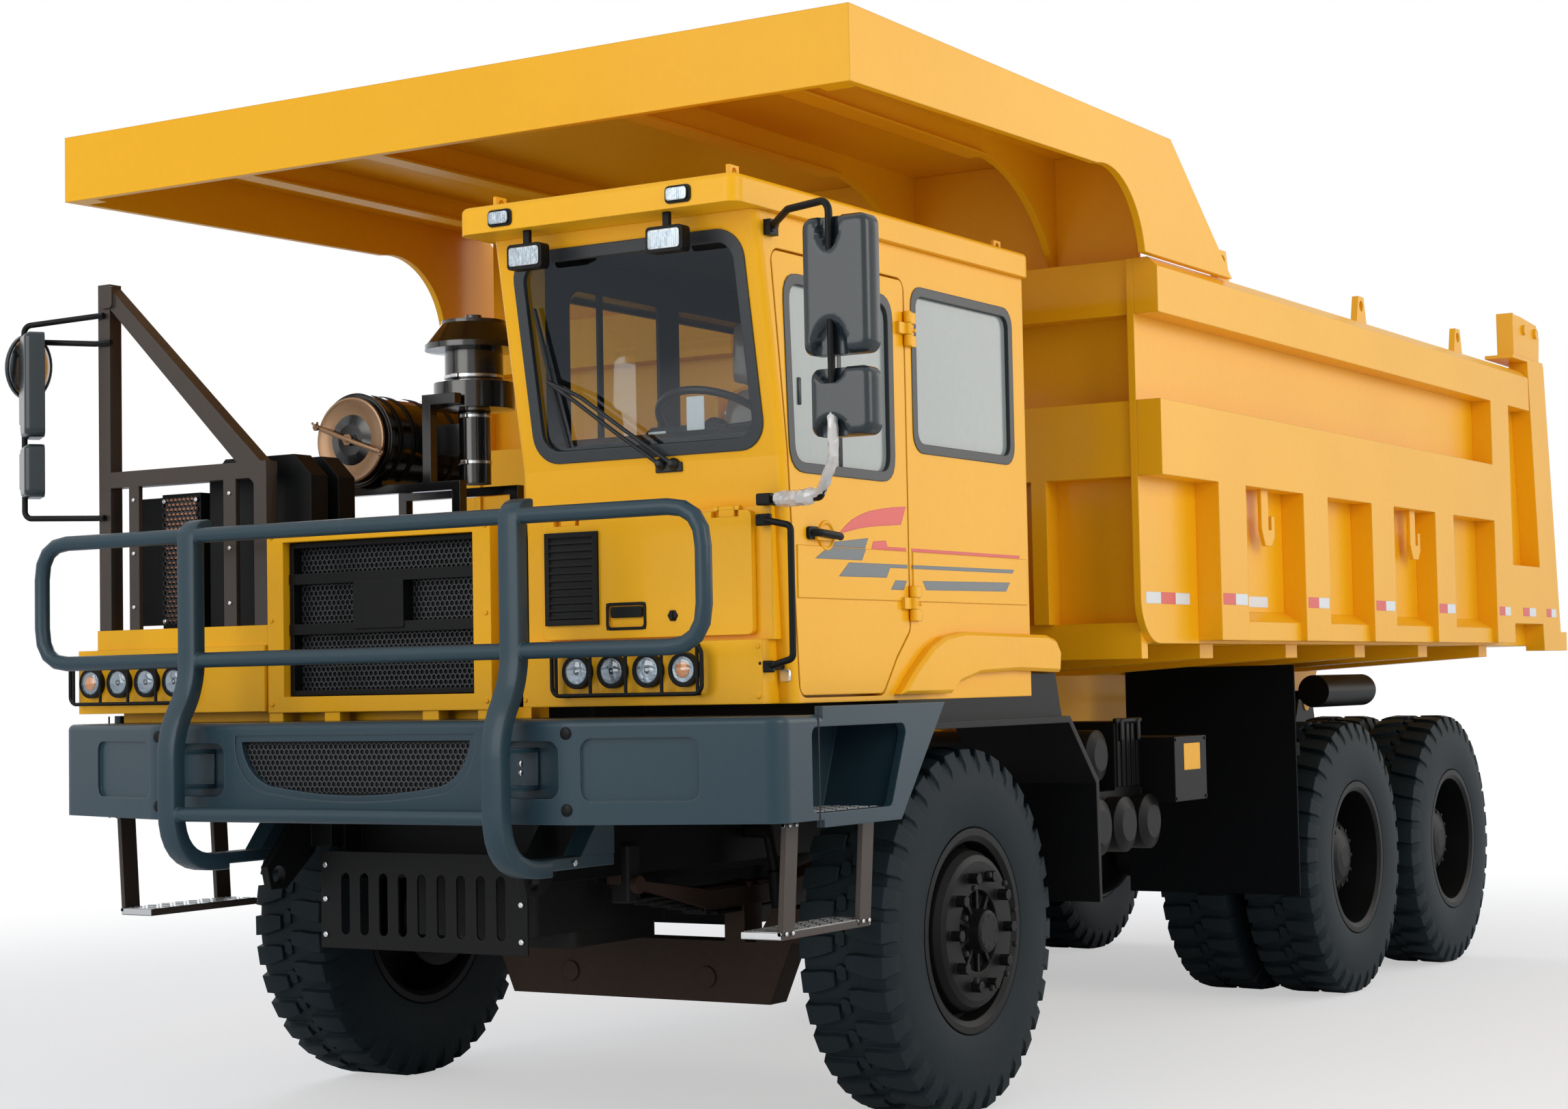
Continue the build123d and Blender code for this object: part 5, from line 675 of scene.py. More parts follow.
# Perforated sheets: hexagon holes punched in dark enamelled sheet, bolted over the grille, the bumper's mouth
# and the cooler beside the deck; each cell of a mesh is a ring of sheet round its hole.


def add_honeycomb(bm, x0, x1, z0, z1, front, back):
    """A sheet of hexagon cells between the given limits; half cells at its edges are left out."""
    reach = HOLE_PITCH / math.sqrt(3.0)
    rows = int((z1 - z0 - 2 * reach) / (1.5 * reach)) + 1
    spare = (z1 - z0 - 2 * reach - (rows - 1) * 1.5 * reach) / 2
    angles = [math.radians(30 + 60 * k) for k in range(6)]
    hole = reach - WEB / 2 * 1.15
    for row in range(rows):
        z = z0 + spare + reach + row * 1.5 * reach
        shift = HOLE_PITCH / 2 if row % 2 else 0.0
        columns = int((x1 - x0 - HOLE_PITCH - shift) / HOLE_PITCH + 1e-6) + 1
        for column in range(columns):
            x = x0 + HOLE_PITCH / 2 + shift + column * HOLE_PITCH
            outer, inner, deep = ([bm.verts.new(at(x + r * math.cos(t), y, z + r * math.sin(t)))
                                   for t in angles] for r, y in ((reach, front), (hole, front), (hole, back)))
            for k in range(6):
                j = (k + 1) % 6
                bm.faces.new((outer[k], outer[j], inner[j], inner[k]))
                bm.faces.new((inner[k], inner[j], deep[j], deep[k]))


MESH = finish_material("mesh_enamel", (0.016, 0.018, 0.021, 1), (0.030, 0.033, 0.038, 1), 0.35, coat=0.2,
                       dust=0.0, gloss=0.4)
HOLE_PITCH, WEB = 21.0, 5.0
# Sheets: name, limits in X and Z, front face, back face
SHEETS = (("grille_perforated_sheet", (-580, 269, 1562, 2105), -1326.0, -1319.4),
          ("bumper_mouth_sheet", (-498, 498, 1222, 1404), -1695.0, -1689.6),
          ("deck_cooler_sheet", (-1276, -1094, 1830, 2312), -1296.0, -1289.8))
for name, limits, front, back in SHEETS:
    bm = bmesh.new()
    add_honeycomb(bm, *limits, front, back)
    finish_piece(name, bm, MESH, smooth=20.0)

# Deck cooler: a finned core of bare copper rows that shows through the holes of its sheet, and a folded black
# side plate bolted to the deck frame.
COPPER = finish_material("copper_core", (0.36, 0.15, 0.08, 1), (0.52, 0.24, 0.14, 1), 0.45, metal=0.3,
                         grain=60.0, depth=0.3, dust=0.05)
core = bmesh.new()
for level in range(26):
    add_box(core, -1262, -1108, -1292.5, -1289.9, 1846 + level * 18, 1856 + level * 18)
finish_piece("deck_cooler_core", core, COPPER)
plate = bmesh.new()
add_box(plate, -1428, -1277, -1286, -1280, 1832, 2312, 2)
add_box(plate, -1292, -1280, -1292, -1252, 1832, 2312, 2)
for z in (1900, 2240):
    add_hex(plate, -1400, -1286, z, (0, -1, 0), 9, 6)
finish_piece("deck_cooler_side_plate", plate, BLACK)

# Cab, hatch, grille frame, flares and dump body: folded and welded sheet in warm yellow enamel. The small
# fixings on them are hex screws in the same paint, black rail feet, a black recessed latch and a plain marker
# lamp.


def add_frame(bm, outer, inner, lift, levels):
    """A hollow frame: outer and inner outlines of equal length between two levels, open in the middle."""
    near, far = levels
    loops_to_faces(bm, [[at(*lift(a, b, level)) for a, b in outline] for outline, level in
                        ((outer, near), (outer, far), (inner, far), (inner, near))], joined=True)


LENS = finish_material("lamp_lens", (0.60, 0.62, 0.64, 1), (0.80, 0.82, 0.84, 1), 0.08, metal=0.7, coat=1.0,
                       dust=0.0)
dress(YELLOW, "yellow_paint")
dress(LENS, "lamp_lens")
screws = bmesh.new()
for z in (1836, 2788):
    for y in (-498, -478):
        for dz in (-44, 0, 44):
            add_hex(screws, 1506, y, z + dz, (1, 0, 0), 8, 6)
for x in (-640, 329):
    for z in (1530, 1830, 2128):
        add_hex(screws, x, -1400, z, (0, -1, 0), 9, 6)
for x in (500, 1425):
    for z in (1530, 1690):
        add_hex(screws, x, -1410, z, (0, -1, 0), 8, 5)
finish_piece("panel_screws", screws, YELLOW)
feet = bmesh.new()
for z in (2092, 1624):
    add_box(feet, 1420, 1474, -1407, -1386, z - 19, z + 19, 4)
    for dx in (-16, 16):
        add_hex(feet, 1447 + dx, -1407, z + 11, (0, -1, 0), 6, 4)
add_box(feet, 1426, 1480, -1412, -1380, 2138, 2176, 4)
for y, z in ((-1440, 3010), (-1410, 3030)):
    add_hex(feet, 1525, y, z, (1, 0, 0), 8, 6)
finish_piece("rail_feet", feet, BLACK)
latch = bmesh.new()
add_frame(latch, rounded(828, 988, 1755, 1846, 16), rounded(838, 978, 1765, 1836, 10), front_lift,
          (-1400.4, -1397.3))
add_slab(latch, rounded(846, 970, 1796, 1832, 8), front_lift, -1399.0, -1390.0)
for x in (833, 983):
    for z in (1760, 1841):
        add_turned(latch, (x, -1400.4, z), (0, -1, 0), [(0, 4), (1.6, 3)], 10)
add_turned(latch, (1093, -1397.3, 1797), (0, -1, 0), [(0, 20), (3, 20), (5, 14)], 6)
add_box(latch, 1088, 1098, -1412, -1400, 1780, 1814, 2)
finish_piece("hatch_latch", latch, BLACK, "service_hatch")
marker = bmesh.new()
add_slab(marker, rounded(1452, 1488, 1575, 1615, 8), front_lift, -1315.5, -1324)
finish_piece("side_marker", marker, LENS)

# Door handle: a moulded black grip that turns on its plate, over a round cup pressed into the yellow door
# skin so that a gloved hand gets behind it.
handle = bmesh.new()
add_slab(handle, rounded(-1225, -1160, 2034, 2076, 14), side_lift, 1500.2, 1512)
add_tube(handle, [(1508, -1200, 2056), (1528, -1186, 2056), (1532, -1060, 2048), (1524, -1046, 2047)], 13, 8,
         12)
finish_piece("door_handle", handle, BLACK, "cab_door")
cup = bmesh.new()
add_turned(cup, (1500.2, -1100, 2050), (1, 0, 0), [(0, 50), (4, 50), (7, 46), (7, 42), (2, 36), (1.2, 6)], 28)
finish_piece("door_handle_cup", cup, YELLOW, "cab_door")

# Headlamps and work lamps: metallised bowls with a bulb shield behind clear moulded covers, fluted on the
# work lamps and amber in the outer lamp of each row. They stand for the plain CAD lenses and sit in the black
# rings there.


def glass_material(name, colour, opacity):
    """Thin tinted pane: mostly clear, with a mirror-like skin at shallow angles."""
    look = bpy.data.materials.new(name)
    look.use_nodes = True
    tree = look.node_tree
    tree.nodes.clear()
    out = add_node(tree, "OutputMaterial")
    clear = add_node(tree, "BsdfTransparent", {"Color": colour})
    gloss = add_node(tree, "BsdfGlossy", {"Roughness": 0.03, "Color": (0.9, 0.95, 1.0, 1)})
    skin = add_node(tree, "Fresnel", {"IOR": 1.5})
    more = add_node(tree, "Math", {1: opacity}, operation="ADD", use_clamp=True)
    face = add_node(tree, "NewGeometry")
    front = add_node(tree, "Math", {0: 1.0}, operation="SUBTRACT")
    share = add_node(tree, "Math", operation="MULTIPLY")
    mix = add_node(tree, "MixShader")
    wire(tree, (skin, 0, more, 0), (face, "Backfacing", front, 1), (more, 0, share, 0), (front, 0, share, 1),
         (share, 0, mix, 0), (clear, 0, mix, 1), (gloss, 0, mix, 2), (mix, 0, out, "Surface"))
    return look


REFLECTOR = finish_material("lamp_reflector", (0.16, 0.18, 0.20, 1), (0.42, 0.45, 0.48, 1), 0.22, metal=1.0,
                            grain=38.0, depth=0.8, dust=0.0)
CLEAR = glass_material("lamp_cover", (0.90, 0.93, 0.95, 1), 0.06)
HEADLAMP_Z = 1620
# Work lamps: X of the pair, half width, low and high edge, front face, depth, flutes, their pitch, inset of
# their ends
WORK_LAMPS = (((681, 1235), 60, 2956, 3018, -1625.5, 3.5, 14, 8, 6),
              ((607, 1312), 38, 3097, 3137, -1660.0, 8, 9, 8.5, 3))
bowls, covers, ambers = bmesh.new(), bmesh.new(), bmesh.new()
for first, last, amber in ((725, 1150, 3), (-1520, -1095, 0)):
    for number in range(4):
        x = first + (last - first) * number / 3
        add_turned(bowls, (x, -1432, HEADLAMP_Z), (0, 1, 0), [(0, 43.8), (6, 39), (13, 30), (19, 17),
                                                              (20.5, 14), (4, 12), (0, 9), (-1, 4)], 24)
        if number == amber:
            add_turned(ambers, (x, -1433, HEADLAMP_Z), (0, -1, 0), [(-8, 26), (0, 27), (5, 20), (7, 9)], 20)
        add_turned(covers, (x, -1434, HEADLAMP_Z), (0, -1, 0), [(0, 43.8), (3, 41), (7, 30), (9, 14),
                                                                (9.5, 3)], 24)
for pair, half, z0, z1, face, deep, flutes, pitch, inset in WORK_LAMPS:
    for x in pair:
        add_slab(bowls, rounded(x - half, x + half, z0, z1, 10), front_lift, face, face - deep)
        for flute in range(flutes):
            across = x + (flute - (flutes - 1) / 2) * pitch
            add_tube(covers, [(across, face - deep - 1, z0 + inset), (across, face - deep - 1, z1 - inset)],
                     4.2, 6)
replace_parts(finish_piece("lamp_bowls", bowls, REFLECTOR), "head_lamps")
finish_piece("lamp_covers", covers, CLEAR)
finish_piece("lamp_covers_amber", ambers, AMBER)

# Cab glazing: tempered panes let into black extruded rubber, which is pulled over the cut edge of each
# opening: the screen, the rear window, the fixed side windows, and the sliding pair in the door.


def eased_outline(corners, radius):
    """A polygon of (a, b) points with each corner rounded."""
    spots = [Vector((a, b, 0)) for a, b in corners]
    bends = [ease_corner(*trio, radius, 5) for trio in zip(spots[-1:] + spots, spots, spots[1:] + spots[:1])]
    return [(spot.x, spot.y) for eased in bends for spot in eased]


def screen_lift(a, b, level):
    """A point on the raked windscreen: X, height and distance behind the cab's face."""
    if b < 2300:
        face = -1310 - 48 * (b - 1505) / 795
    else:
        face = -1358 - 142 * (b - 2300) / 775
    return a, face + level, b


GLASS = glass_material("cab_glass", (0.90, 0.93, 0.94, 1), 0.02)
SEAL = finish_material("seal_rubber", (0.012, 0.016, 0.020, 1), (0.020, 0.026, 0.031, 1), 0.42, grain=300.0,
                       depth=0.1, dust=0.05)
dress(GLASS, "cab_glazing")
SEAL_WIDE = 34
# Fixed windows: limits, how they lie, levels of the seal's faces
WINDOWS = (((-493, 288, 2361, 2947), side_lift, (1503.0, 1487.0)),
           ((-1162, 212, 2338, 2947), side_lift, (452.0, 469.0)),
           ((588, 1372, 2288, 2962), front_lift, (386.0, 370.0)))
bm = bmesh.new()
add_frame(bm, rounded(526, 1442, 2321, 3024, 96, 7), rounded(566, 1402, 2361, 2984, 66, 7), screen_lift,
          (-5.0, 14.0))
finish_piece("windscreen_seal", bm, SEAL, smooth=50.0)
bm = bmesh.new()
for (a0, a1, b0, b1), lift, levels in WINDOWS:
    inner = rounded(a0 + SEAL_WIDE, a1 - SEAL_WIDE, b0 + SEAL_WIDE, b1 - SEAL_WIDE, 44)
    add_frame(bm, rounded(a0, a1, b0, b1, 70), inner, lift, levels)
add_box(bm, 461, 471, -484, -456, 2360, 2925, 2)
finish_piece("side_window_seals", bm, SEAL, smooth=50.0)
bm = bmesh.new()
door_outer = [(-1318, 2248), (-627, 2248), (-627, 2893), (-1346, 2893)]
door_inner = [(-1284, 2282), (-661, 2282), (-661, 2859), (-1310, 2859)]
add_frame(bm, eased_outline(door_outer, 92), eased_outline(door_inner, 62), side_lift, (1503.5, 1486.5))
add_box(bm, 1480, 1487.5, -985, -955, 2270, 2868, 2)
add_box(bm, 1487, 1493, -1240, -1222, 2470, 2560, 3)
add_box(bm, 1487, 1493, -960, -944, 2420, 2500, 3)
finish_piece("door_window_seal", bm, SEAL, "cab_door", 50.0)

# Painted reflection: an opaque pale grey sheet laid flat over the two left side panes and cut just inside the
# rubber; its colour paints the bright sky reflected in that glass.
PANE_PAINTED_REFLECTION = finish_material("pane_painted_sky_reflection", (0.20, 0.235, 0.23, 1), (0.28, 0.32, 0.31, 1), 0.22, coat=0.3,
                       grain=20.0, depth=0.02, dust=0.0, gloss=0.4)
SHEET_FACE, SHEET_BACK = 1486.3, 1486.9
bm = bmesh.new()
add_slab(bm, rounded(-480, 275, 2374, 2934, 58), side_lift, SHEET_FACE, SHEET_BACK)
finish_piece("side_pane_painted_reflection", bm, PANE_PAINTED_REFLECTION)
bm = bmesh.new()
door_pane = [(-1304, 2263), (-641, 2263), (-641, 2879), (-1331, 2879)]
add_slab(bm, eased_outline(door_pane, 88), side_lift, SHEET_FACE, SHEET_BACK)
finish_piece("door_pane_painted_reflection", bm, PANE_PAINTED_REFLECTION, "cab_door")

# Windscreen wipers: two pressed-steel arms from one spindle plate under the screen, parked side by side, the
# first with its rubber blade against the glass.
TRIM = finish_material("dark_trim", (0.007, 0.009, 0.011, 1), (0.012, 0.015, 0.018, 1), 0.36, grain=420.0,
                       depth=0.2, dust=0.0, gloss=0.3)
bm = bmesh.new()
low, high = (672, 2372), (598, 2838)
for pivot, elbow, middle in (((1035, 2296), (735, 2520), (635, 2585)),
                             ((1085, 2294), (760, 2532), (626, 2593))):
    halfway = ((pivot[0] + elbow[0]) / 2, (pivot[1] + elbow[1]) / 2)
    add_tube(bm, [screen_lift(*pivot, -22), screen_lift(*halfway, -34), screen_lift(*elbow, -30),
                  screen_lift(*middle, -20)], 7.0, 8, 14)
    add_turned(bm, screen_lift(*pivot, 0), (0, -1, 0.06), [(-2, 20), (14, 20), (26, 15), (32, 8)], 14)
add_tube(bm, [screen_lift(*low, -8), screen_lift(635, 2585, -13), screen_lift(*high, -8)], 6.5, 8, 50)
add_tube(bm, [screen_lift(*low, 0), screen_lift(*high, 0)], 4.0, 6)
add_box(bm, 1010, 1115, -1366, -1356, 2268, 2300, 3)
finish_piece("screen_wipers", bm, TRIM)

# Cab interior: black moulded dashboard with its cowl, side console and gear lever, and a moulded steering
# wheel with three spokes on its column; screwed to the floor and the bulkhead. They stand for the plain CAD
# interior.
dress(TRIM, "dark_trim")
dash = bmesh.new()
# Dashboard and cowl as (Y, Z) profiles carried across stations of X
profile = [(-1285, 1560), (-1278, 2330), (-1296, 2388), (-1240, 2412), (-1160, 2404), (-1120, 2380),
           (-1090, 2290), (-1130, 2150), (-1190, 1990), (-1210, 1560)]
stations = ((524, 0), (560, 6), (700, 6), (740, -10), (1200, -10), (1250, 6), (1400, 6), (1416, 0))
loops_to_faces(dash, [[at(x, y + (bulge if y > -1180 else 0), z) for y, z in profile]
                      for x, bulge in stations])
cowl = [(-1210, 2386), (-1180, 2440), (-1110, 2434), (-1085, 2380), (-1100, 2310), (-1190, 2300)]
drops = ((840, 26), (870, 0), (1120, 0), (1150, 26))
loops_to_faces(dash, [[at(x, y, z - drop) for y, z in cowl] for x, drop in drops])
add_tube(dash, [(968, -1150, 2240), (968, -1000, 2330), (968, -928, 2442)], 34, 12)
add_box(dash, 520, 1420, -1270, 300, 1546, 1560, 3)
add_box(dash, 530, 690, -900, 60, 1560, 1900, 20)
add_tube(dash, [(620, -620, 1895), (640, -640, 2060), (655, -650, 2110)], 11, 8)
add_turned(dash, (655, -650, 2105), (0, 0, 1), [(0, 14), (14, 26), (36, 26), (50, 12)], 14)
for x in (900, 990, 1080):
    add_turned(dash, (x, -1092, 2360), (0, 1, 0.3), [(0, 36), (8, 36), (10, 30)], 18)
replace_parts(finish_piece("dashboard_moulding", dash, TRIM, smooth=40.0), "cab_interior")
WHEEL_RADIUS, GRIP = 212, 14
wheel = bmesh.new()
centre = Vector((968, -915, 2462))
across = Vector((1, 0, 0))
rise = Vector((0, -math.cos(math.radians(30)), math.sin(math.radians(30))))
hub = across.cross(rise)
rings = []
for k in range(40):
    a = 2 * math.pi * k / 40
    spoke = across * math.cos(a) + rise * math.sin(a)
    rings.append([at(*(centre + spoke * (WHEEL_RADIUS + GRIP * math.cos(b)) + hub * GRIP * math.sin(b)))
                  for b in (2 * math.pi * j / 8 for j in range(8))])
loops_to_faces(wheel, rings, joined=True)
for a in (0, math.pi, -math.pi / 2):
    spoke = across * math.cos(a) + rise * math.sin(a)
    add_tube(wheel, [tuple(centre + hub * 14), tuple(centre + spoke * 110 + hub * 10),
                     tuple(centre + spoke * 208)], 12, 8, 20)
add_turned(wheel, tuple(centre), tuple(hub), [(-6, 40), (16, 52), (26, 44), (30, 20)], 20)
finish_piece("steering_wheel", wheel, TRIM)

# Driver's seat: stuffed cushion in grey cloth, back and headrest still in their clear film, with black
# armrests, on a rubber bellows over a plate bolted to the floor.


def add_pad(bm, x0, x1, y0, y1, z0, z1, crown, lean=0.0):
    """A stuffed pad with rounded sides and a crowned front, leaning back as it rises."""
    across, along, rows = 8, 8, []
    for i in range(across + 1):
        u = -1 + 2 * i / across
        ring = []
        for j in range(2 * along):
            t = 2 * math.pi * j / (2 * along)
            squash = (1 - abs(u) ** 6) ** (1 / 6) if abs(u) < 1 else 0.25
            cy = (abs(math.cos(t)) ** 0.45) * (1 if math.cos(t) > 0 else -1)
            cz = (abs(math.sin(t)) ** 0.45) * (1 if math.sin(t) > 0 else -1)
            y = (y0 + y1) / 2 + (y1 - y0) / 2 * cy * (0.7 + 0.3 * squash)
            z = (z0 + z1) / 2 + (z1 - z0) / 2 * cz * (0.85 + 0.15 * squash)
            bulge = crown * (1 - u * u) * (1 - cz * cz)
            ring.append(at((x0 + x1) / 2 + (x1 - x0) / 2 * u, y - bulge + lean * (z - z0), z))
        rows.append(ring)
    loops_to_faces(bm, rows)


CLOTH = finish_material("seat_cloth", (0.030, 0.032, 0.036, 1), (0.055, 0.057, 0.062, 1), 0.85, grain=600.0,
                        depth=0.5, dust=0.05)
SEAT_FILM = finish_material("seat_film_amber", (0.20, 0.13, 0.09, 1), (0.42, 0.32, 0.26, 1), 0.16, coat=0.8,
                            grain=26.0, depth=1.0, dust=0.0)
base = bmesh.new()
add_box(base, 850, 1140, -920, -480, 1560, 1600, 6)
for level in range(9):
    add_box(base, 868, 1122, -900, -500, 1602 + level * 34, 1624 + level * 34, 8)
add_box(base, 800, 1190, -940, -440, 1908, 1952, 8)
add_box(base, 786, 811, -760, -470, 1950, 2230, 6)
add_box(base, 1179, 1204, -760, -470, 1950, 2230, 6)
finish_piece("seat_base", base, TRIM)
# Pads: name, look, limits in X, Y and Z, crown of the front, lean per height
PADS = (("seat_cushion", CLOTH, (762, 1228, -960, -470, 1954, 2100, 10, 0.0)),
        ("seat_back", SEAT_FILM, (740, 1230, -560, -410, 2064, 2640, 26, 0.06)),
        ("seat_headrest", SEAT_FILM, (770, 1200, -520, -410, 2646, 2890, 14, 0.06)))
for name, look, sizes in PADS:
    bm = bmesh.new()
    add_pad(bm, *sizes)
    finish_piece(name, bm, look, smooth=60.0)

# Papers behind the screen: a small white card and a narrow slip, both without print, laid against the glass
# at the dashboard's edge.
PAPER = finish_material("white_paper", (0.70, 0.70, 0.68, 1), (0.80, 0.80, 0.79, 1), 0.7, dust=0.0)
bm = bmesh.new()
add_slab(bm, rounded(1090, 1160, 2408, 2520, 4, 2), front_lift, -1292.0, -1292.6)
add_slab(bm, rounded(940, 1010, 2404, 2412, 2, 2), front_lift, -1298.0, -1298.6)
finish_piece("screen_papers", bm, PAPER)

# Cab lining: dark moulded trim under the roof and round the windows of the right and rear walls, with the
# door post between the two right panes; felt-backed panels clipped to the shell. Its near-black colour is
# partly painted
# shade: it also stands for the shade inside the cab under the roof.
LINING_AND_PAINTED_SHADE = finish_material("cab_lining_and_painted_shade", (0.018, 0.021, 0.024, 1), (0.030, 0.034, 0.038, 1), 0.8, grain=300.0,
                         depth=0.3, dust=0.0, gloss=0.2)
SIDE_LINING, REAR_LINING = 516.5, 322.0
lining = bmesh.new()
add_slab(lining, [(518, -1400), (1436, -1400), (1436, 318), (518, 318)], plan_lift, 3050, 3066)
add_frame(lining, rounded(-1290, 318, 1560, 3048, 20), rounded(-1160, 210, 2344, 2946, 66), side_lift,
          (SIDE_LINING, 524.0))
for y0, y1, level in ((-620, -490, 530.0), (-994, -968, 528.0)):
    add_slab(lining, [(y0, 2340), (y1, 2340), (y1, 2950), (y0, 2950)], side_lift, SIDE_LINING, level)
add_frame(lining, rounded(530, 1430, 1560, 3048, 20), rounded(596, 1364, 2296, 2954, 66), front_lift,
          (REAR_LINING, 314.0))
finish_piece("cab_lining_and_painted_shade", lining, LINING_AND_PAINTED_SHADE)

# Mirrors: moulded black housings hollowed where the carrying tube enters, silvered glass set in behind, and
# on the right a round wide-angle head on a short arm; the right heads are turned toward the driver.


def add_head(bm, x0, x1, z0, z1, front, deep, tube_x, scoops, corner=30.0):
    """A housing whose front is hollowed where the tube enters, as (top or bottom, half width, tall, deep)."""
    columns, rows = 22, 34
    grid = []
    for i in range(columns + 1):
        line = []
        for j in range(rows + 1):
            u, v = -1 + 2 * i / columns, -1 + 2 * j / rows
            x = (x0 + x1) / 2 + (x1 - x0) / 2 * u
            z = (z0 + z1) / 2 + (z1 - z0) / 2 * v
            ex = max(0.0, abs(x - (x0 + x1) / 2) - (x1 - x0) / 2 + corner) / corner
            ez = max(0.0, abs(z - (z0 + z1) / 2) - (z1 - z0) / 2 + corner) / corner
            reach = math.hypot(ex, ez)
            if reach > 1.0:
                shrink = corner * (1 - 1 / reach)
                x -= math.copysign(shrink * ex, x - (x0 + x1) / 2)
                z -= math.copysign(shrink * ez, z - (z0 + z1) / 2)
            y = front + 20.0 * min(1.0, reach) ** 4
            for top, half, tall, hollow in scoops:
                edge = z1 if top else z0
                d = math.hypot((x - tube_x) / half, (z - edge) / tall)
                if d < 1.0:
                    y = max(y, front + hollow * min(1.0, (1 - d) * 4.5))
            line.append(bm.verts.new(at(x, y, z)))
        grid.append(line)
    for i in range(columns):
        for j in range(rows):
            bm.faces.new((grid[i][j], grid[i + 1][j], grid[i + 1][j + 1], grid[i][j + 1]))
    rim = ([grid[i][0] for i in range(columns)] + [grid[columns][j] for j in range(rows)]
           + [grid[i][rows] for i in range(columns, 0, -1)] + [grid[0][j] for j in range(rows, 0, -1)])
    back = [bm.verts.new(at(v.co.x * 1000, front + deep, v.co.z * 1000)) for v in rim]
    for k in range(len(rim)):
        j = (k + 1) % len(rim)
        bm.faces.new((rim[k], rim[j], back[j], back[k]))
    bm.faces.new(back)


SHELL = finish_material("mirror_shell", (0.012, 0.019, 0.024, 1), (0.020, 0.029, 0.035, 1), 0.26, grain=420.0,
                        depth=0.06, coat=0.2, dust=0.0, gloss=0.35)
LEFT_TUBE_X, RIGHT_TUBE = 1829, (-1800, -1467)
heads, right_heads = bmesh.new(), bmesh.new()
add_head(heads, 1732, 1970, 2572, 2999, -1616, 76, LEFT_TUBE_X, ((True, 46, 110, 34), (False, 66, 110, 34)),
         34)
add_head(heads, 1754, 1970, 2320, 2531, -1616, 76, LEFT_TUBE_X, ((True, 56, 50, 34), (False, 60, 66, 34)), 34)
add_head(right_heads, -1822, -1640, 2552, 2950, -1504, 74, RIGHT_TUBE[0],
         ((True, 30, 60, 28), (False, 34, 60, 28)), 26)
add_head(right_heads, -1822, -1650, 2325, 2525, -1504, 74, RIGHT_TUBE[0],
         ((True, 30, 30, 28), (False, 30, 40, 28)), 26)
ROUND_HEAD = (-1870, -1400, 2842)
ROUND_FACING = (0.985, 0.12, -0.1)
add_turned(heads, ROUND_HEAD, ROUND_FACING, [(-30, 40), (-28, 84), (-20, 116), (-8, 128), (4, 128), (6, 122),
                                             (1, 121)], 36)
add_tube(heads, [(-1800, -1467, 2885), (-1850, -1446, 2880), (-1894, -1404, 2852)], 9, 8, 12)
glass, right_glass = bmesh.new(), bmesh.new()
for x0, x1, z0, z1 in ((1744, 1958, 2584, 2987), (1766, 1958, 2332, 2519)):
    add_slab(glass, rounded(x0, x1, z0, z1, 24), front_lift, -1539.8, -1538.6)
for x0, x1, z0, z1 in ((-1810, -1652, 2564, 2938), (-1810, -1662, 2337, 2513)):
    add_slab(right_glass, rounded(x0, x1, z0, z1, 24), front_lift, -1429.8, -1428.6)
add_turned(glass, ROUND_HEAD, ROUND_FACING, [(1, 120), (6, 110), (12, 80), (16, 40), (17, 6)], 36)
driver_turn = Matrix.Rotation(math.radians(-35), 3, "Z")
for bm in (right_heads, right_glass):
    bmesh.ops.rotate(bm, verts=bm.verts, cent=at(*RIGHT_TUBE, 0), matrix=driver_turn)
finish_piece("mirror_housings_right", right_heads, SHELL, smooth=50.0)
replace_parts(finish_piece("mirror_housings", heads, SHELL, smooth=50.0), "mirrors")
finish_piece("mirror_glass_right", right_glass, BRIGHT)
finish_piece("mirror_glass", glass, BRIGHT)

# Packing film: clear film still wound round the left mirror tube's lower bend and round its foot, as it came
# from the works; thin, loose and crumpled.
FILM = finish_material("seat_film", (0.42, 0.40, 0.38, 1), (0.72, 0.70, 0.68, 1), 0.14, coat=1.0, grain=38.0,
                       depth=0.9, dust=0.0)
random.seed(7)
TUBE_LINE = [(1829, -1600, 2392), (1829, -1600, 2330), (1829, -1600, 2262), (1806, -1581, 2228),
             (1768, -1546, 2190), (1724, -1505, 2160), (1660, -1478, 2150), (1590, -1440, 2152),
             (1536, -1412, 2154), (1500, -1400, 2155)]
STEPS, SIDES = 4, 12
wrap = bmesh.new()
fine = [Vector(a).lerp(Vector(b), step / STEPS) for a, b in zip(TUBE_LINE, TUBE_LINE[1:])
        for step in range(STEPS)]
rings = []
for i, point in enumerate(fine):
    ahead = (fine[min(i + 1, len(fine) - 1)] - fine[max(i - 1, 0)]).normalized()
    side = ahead.cross(Vector((0.3, 0.9, 0.2))).normalized()
    other = ahead.cross(side)
    swell = 26 if i > 22 else 17
    rings.append([at(*(point
                       + (side * math.cos(a) + other * math.sin(a)) * swell * random.uniform(0.88, 1.15)))
                  for a in (2 * math.pi * k / SIDES for k in range(SIDES))])
loops_to_faces(wrap, rings)
finish_piece("mirror_tube_film", wrap, FILM, smooth=18.0)

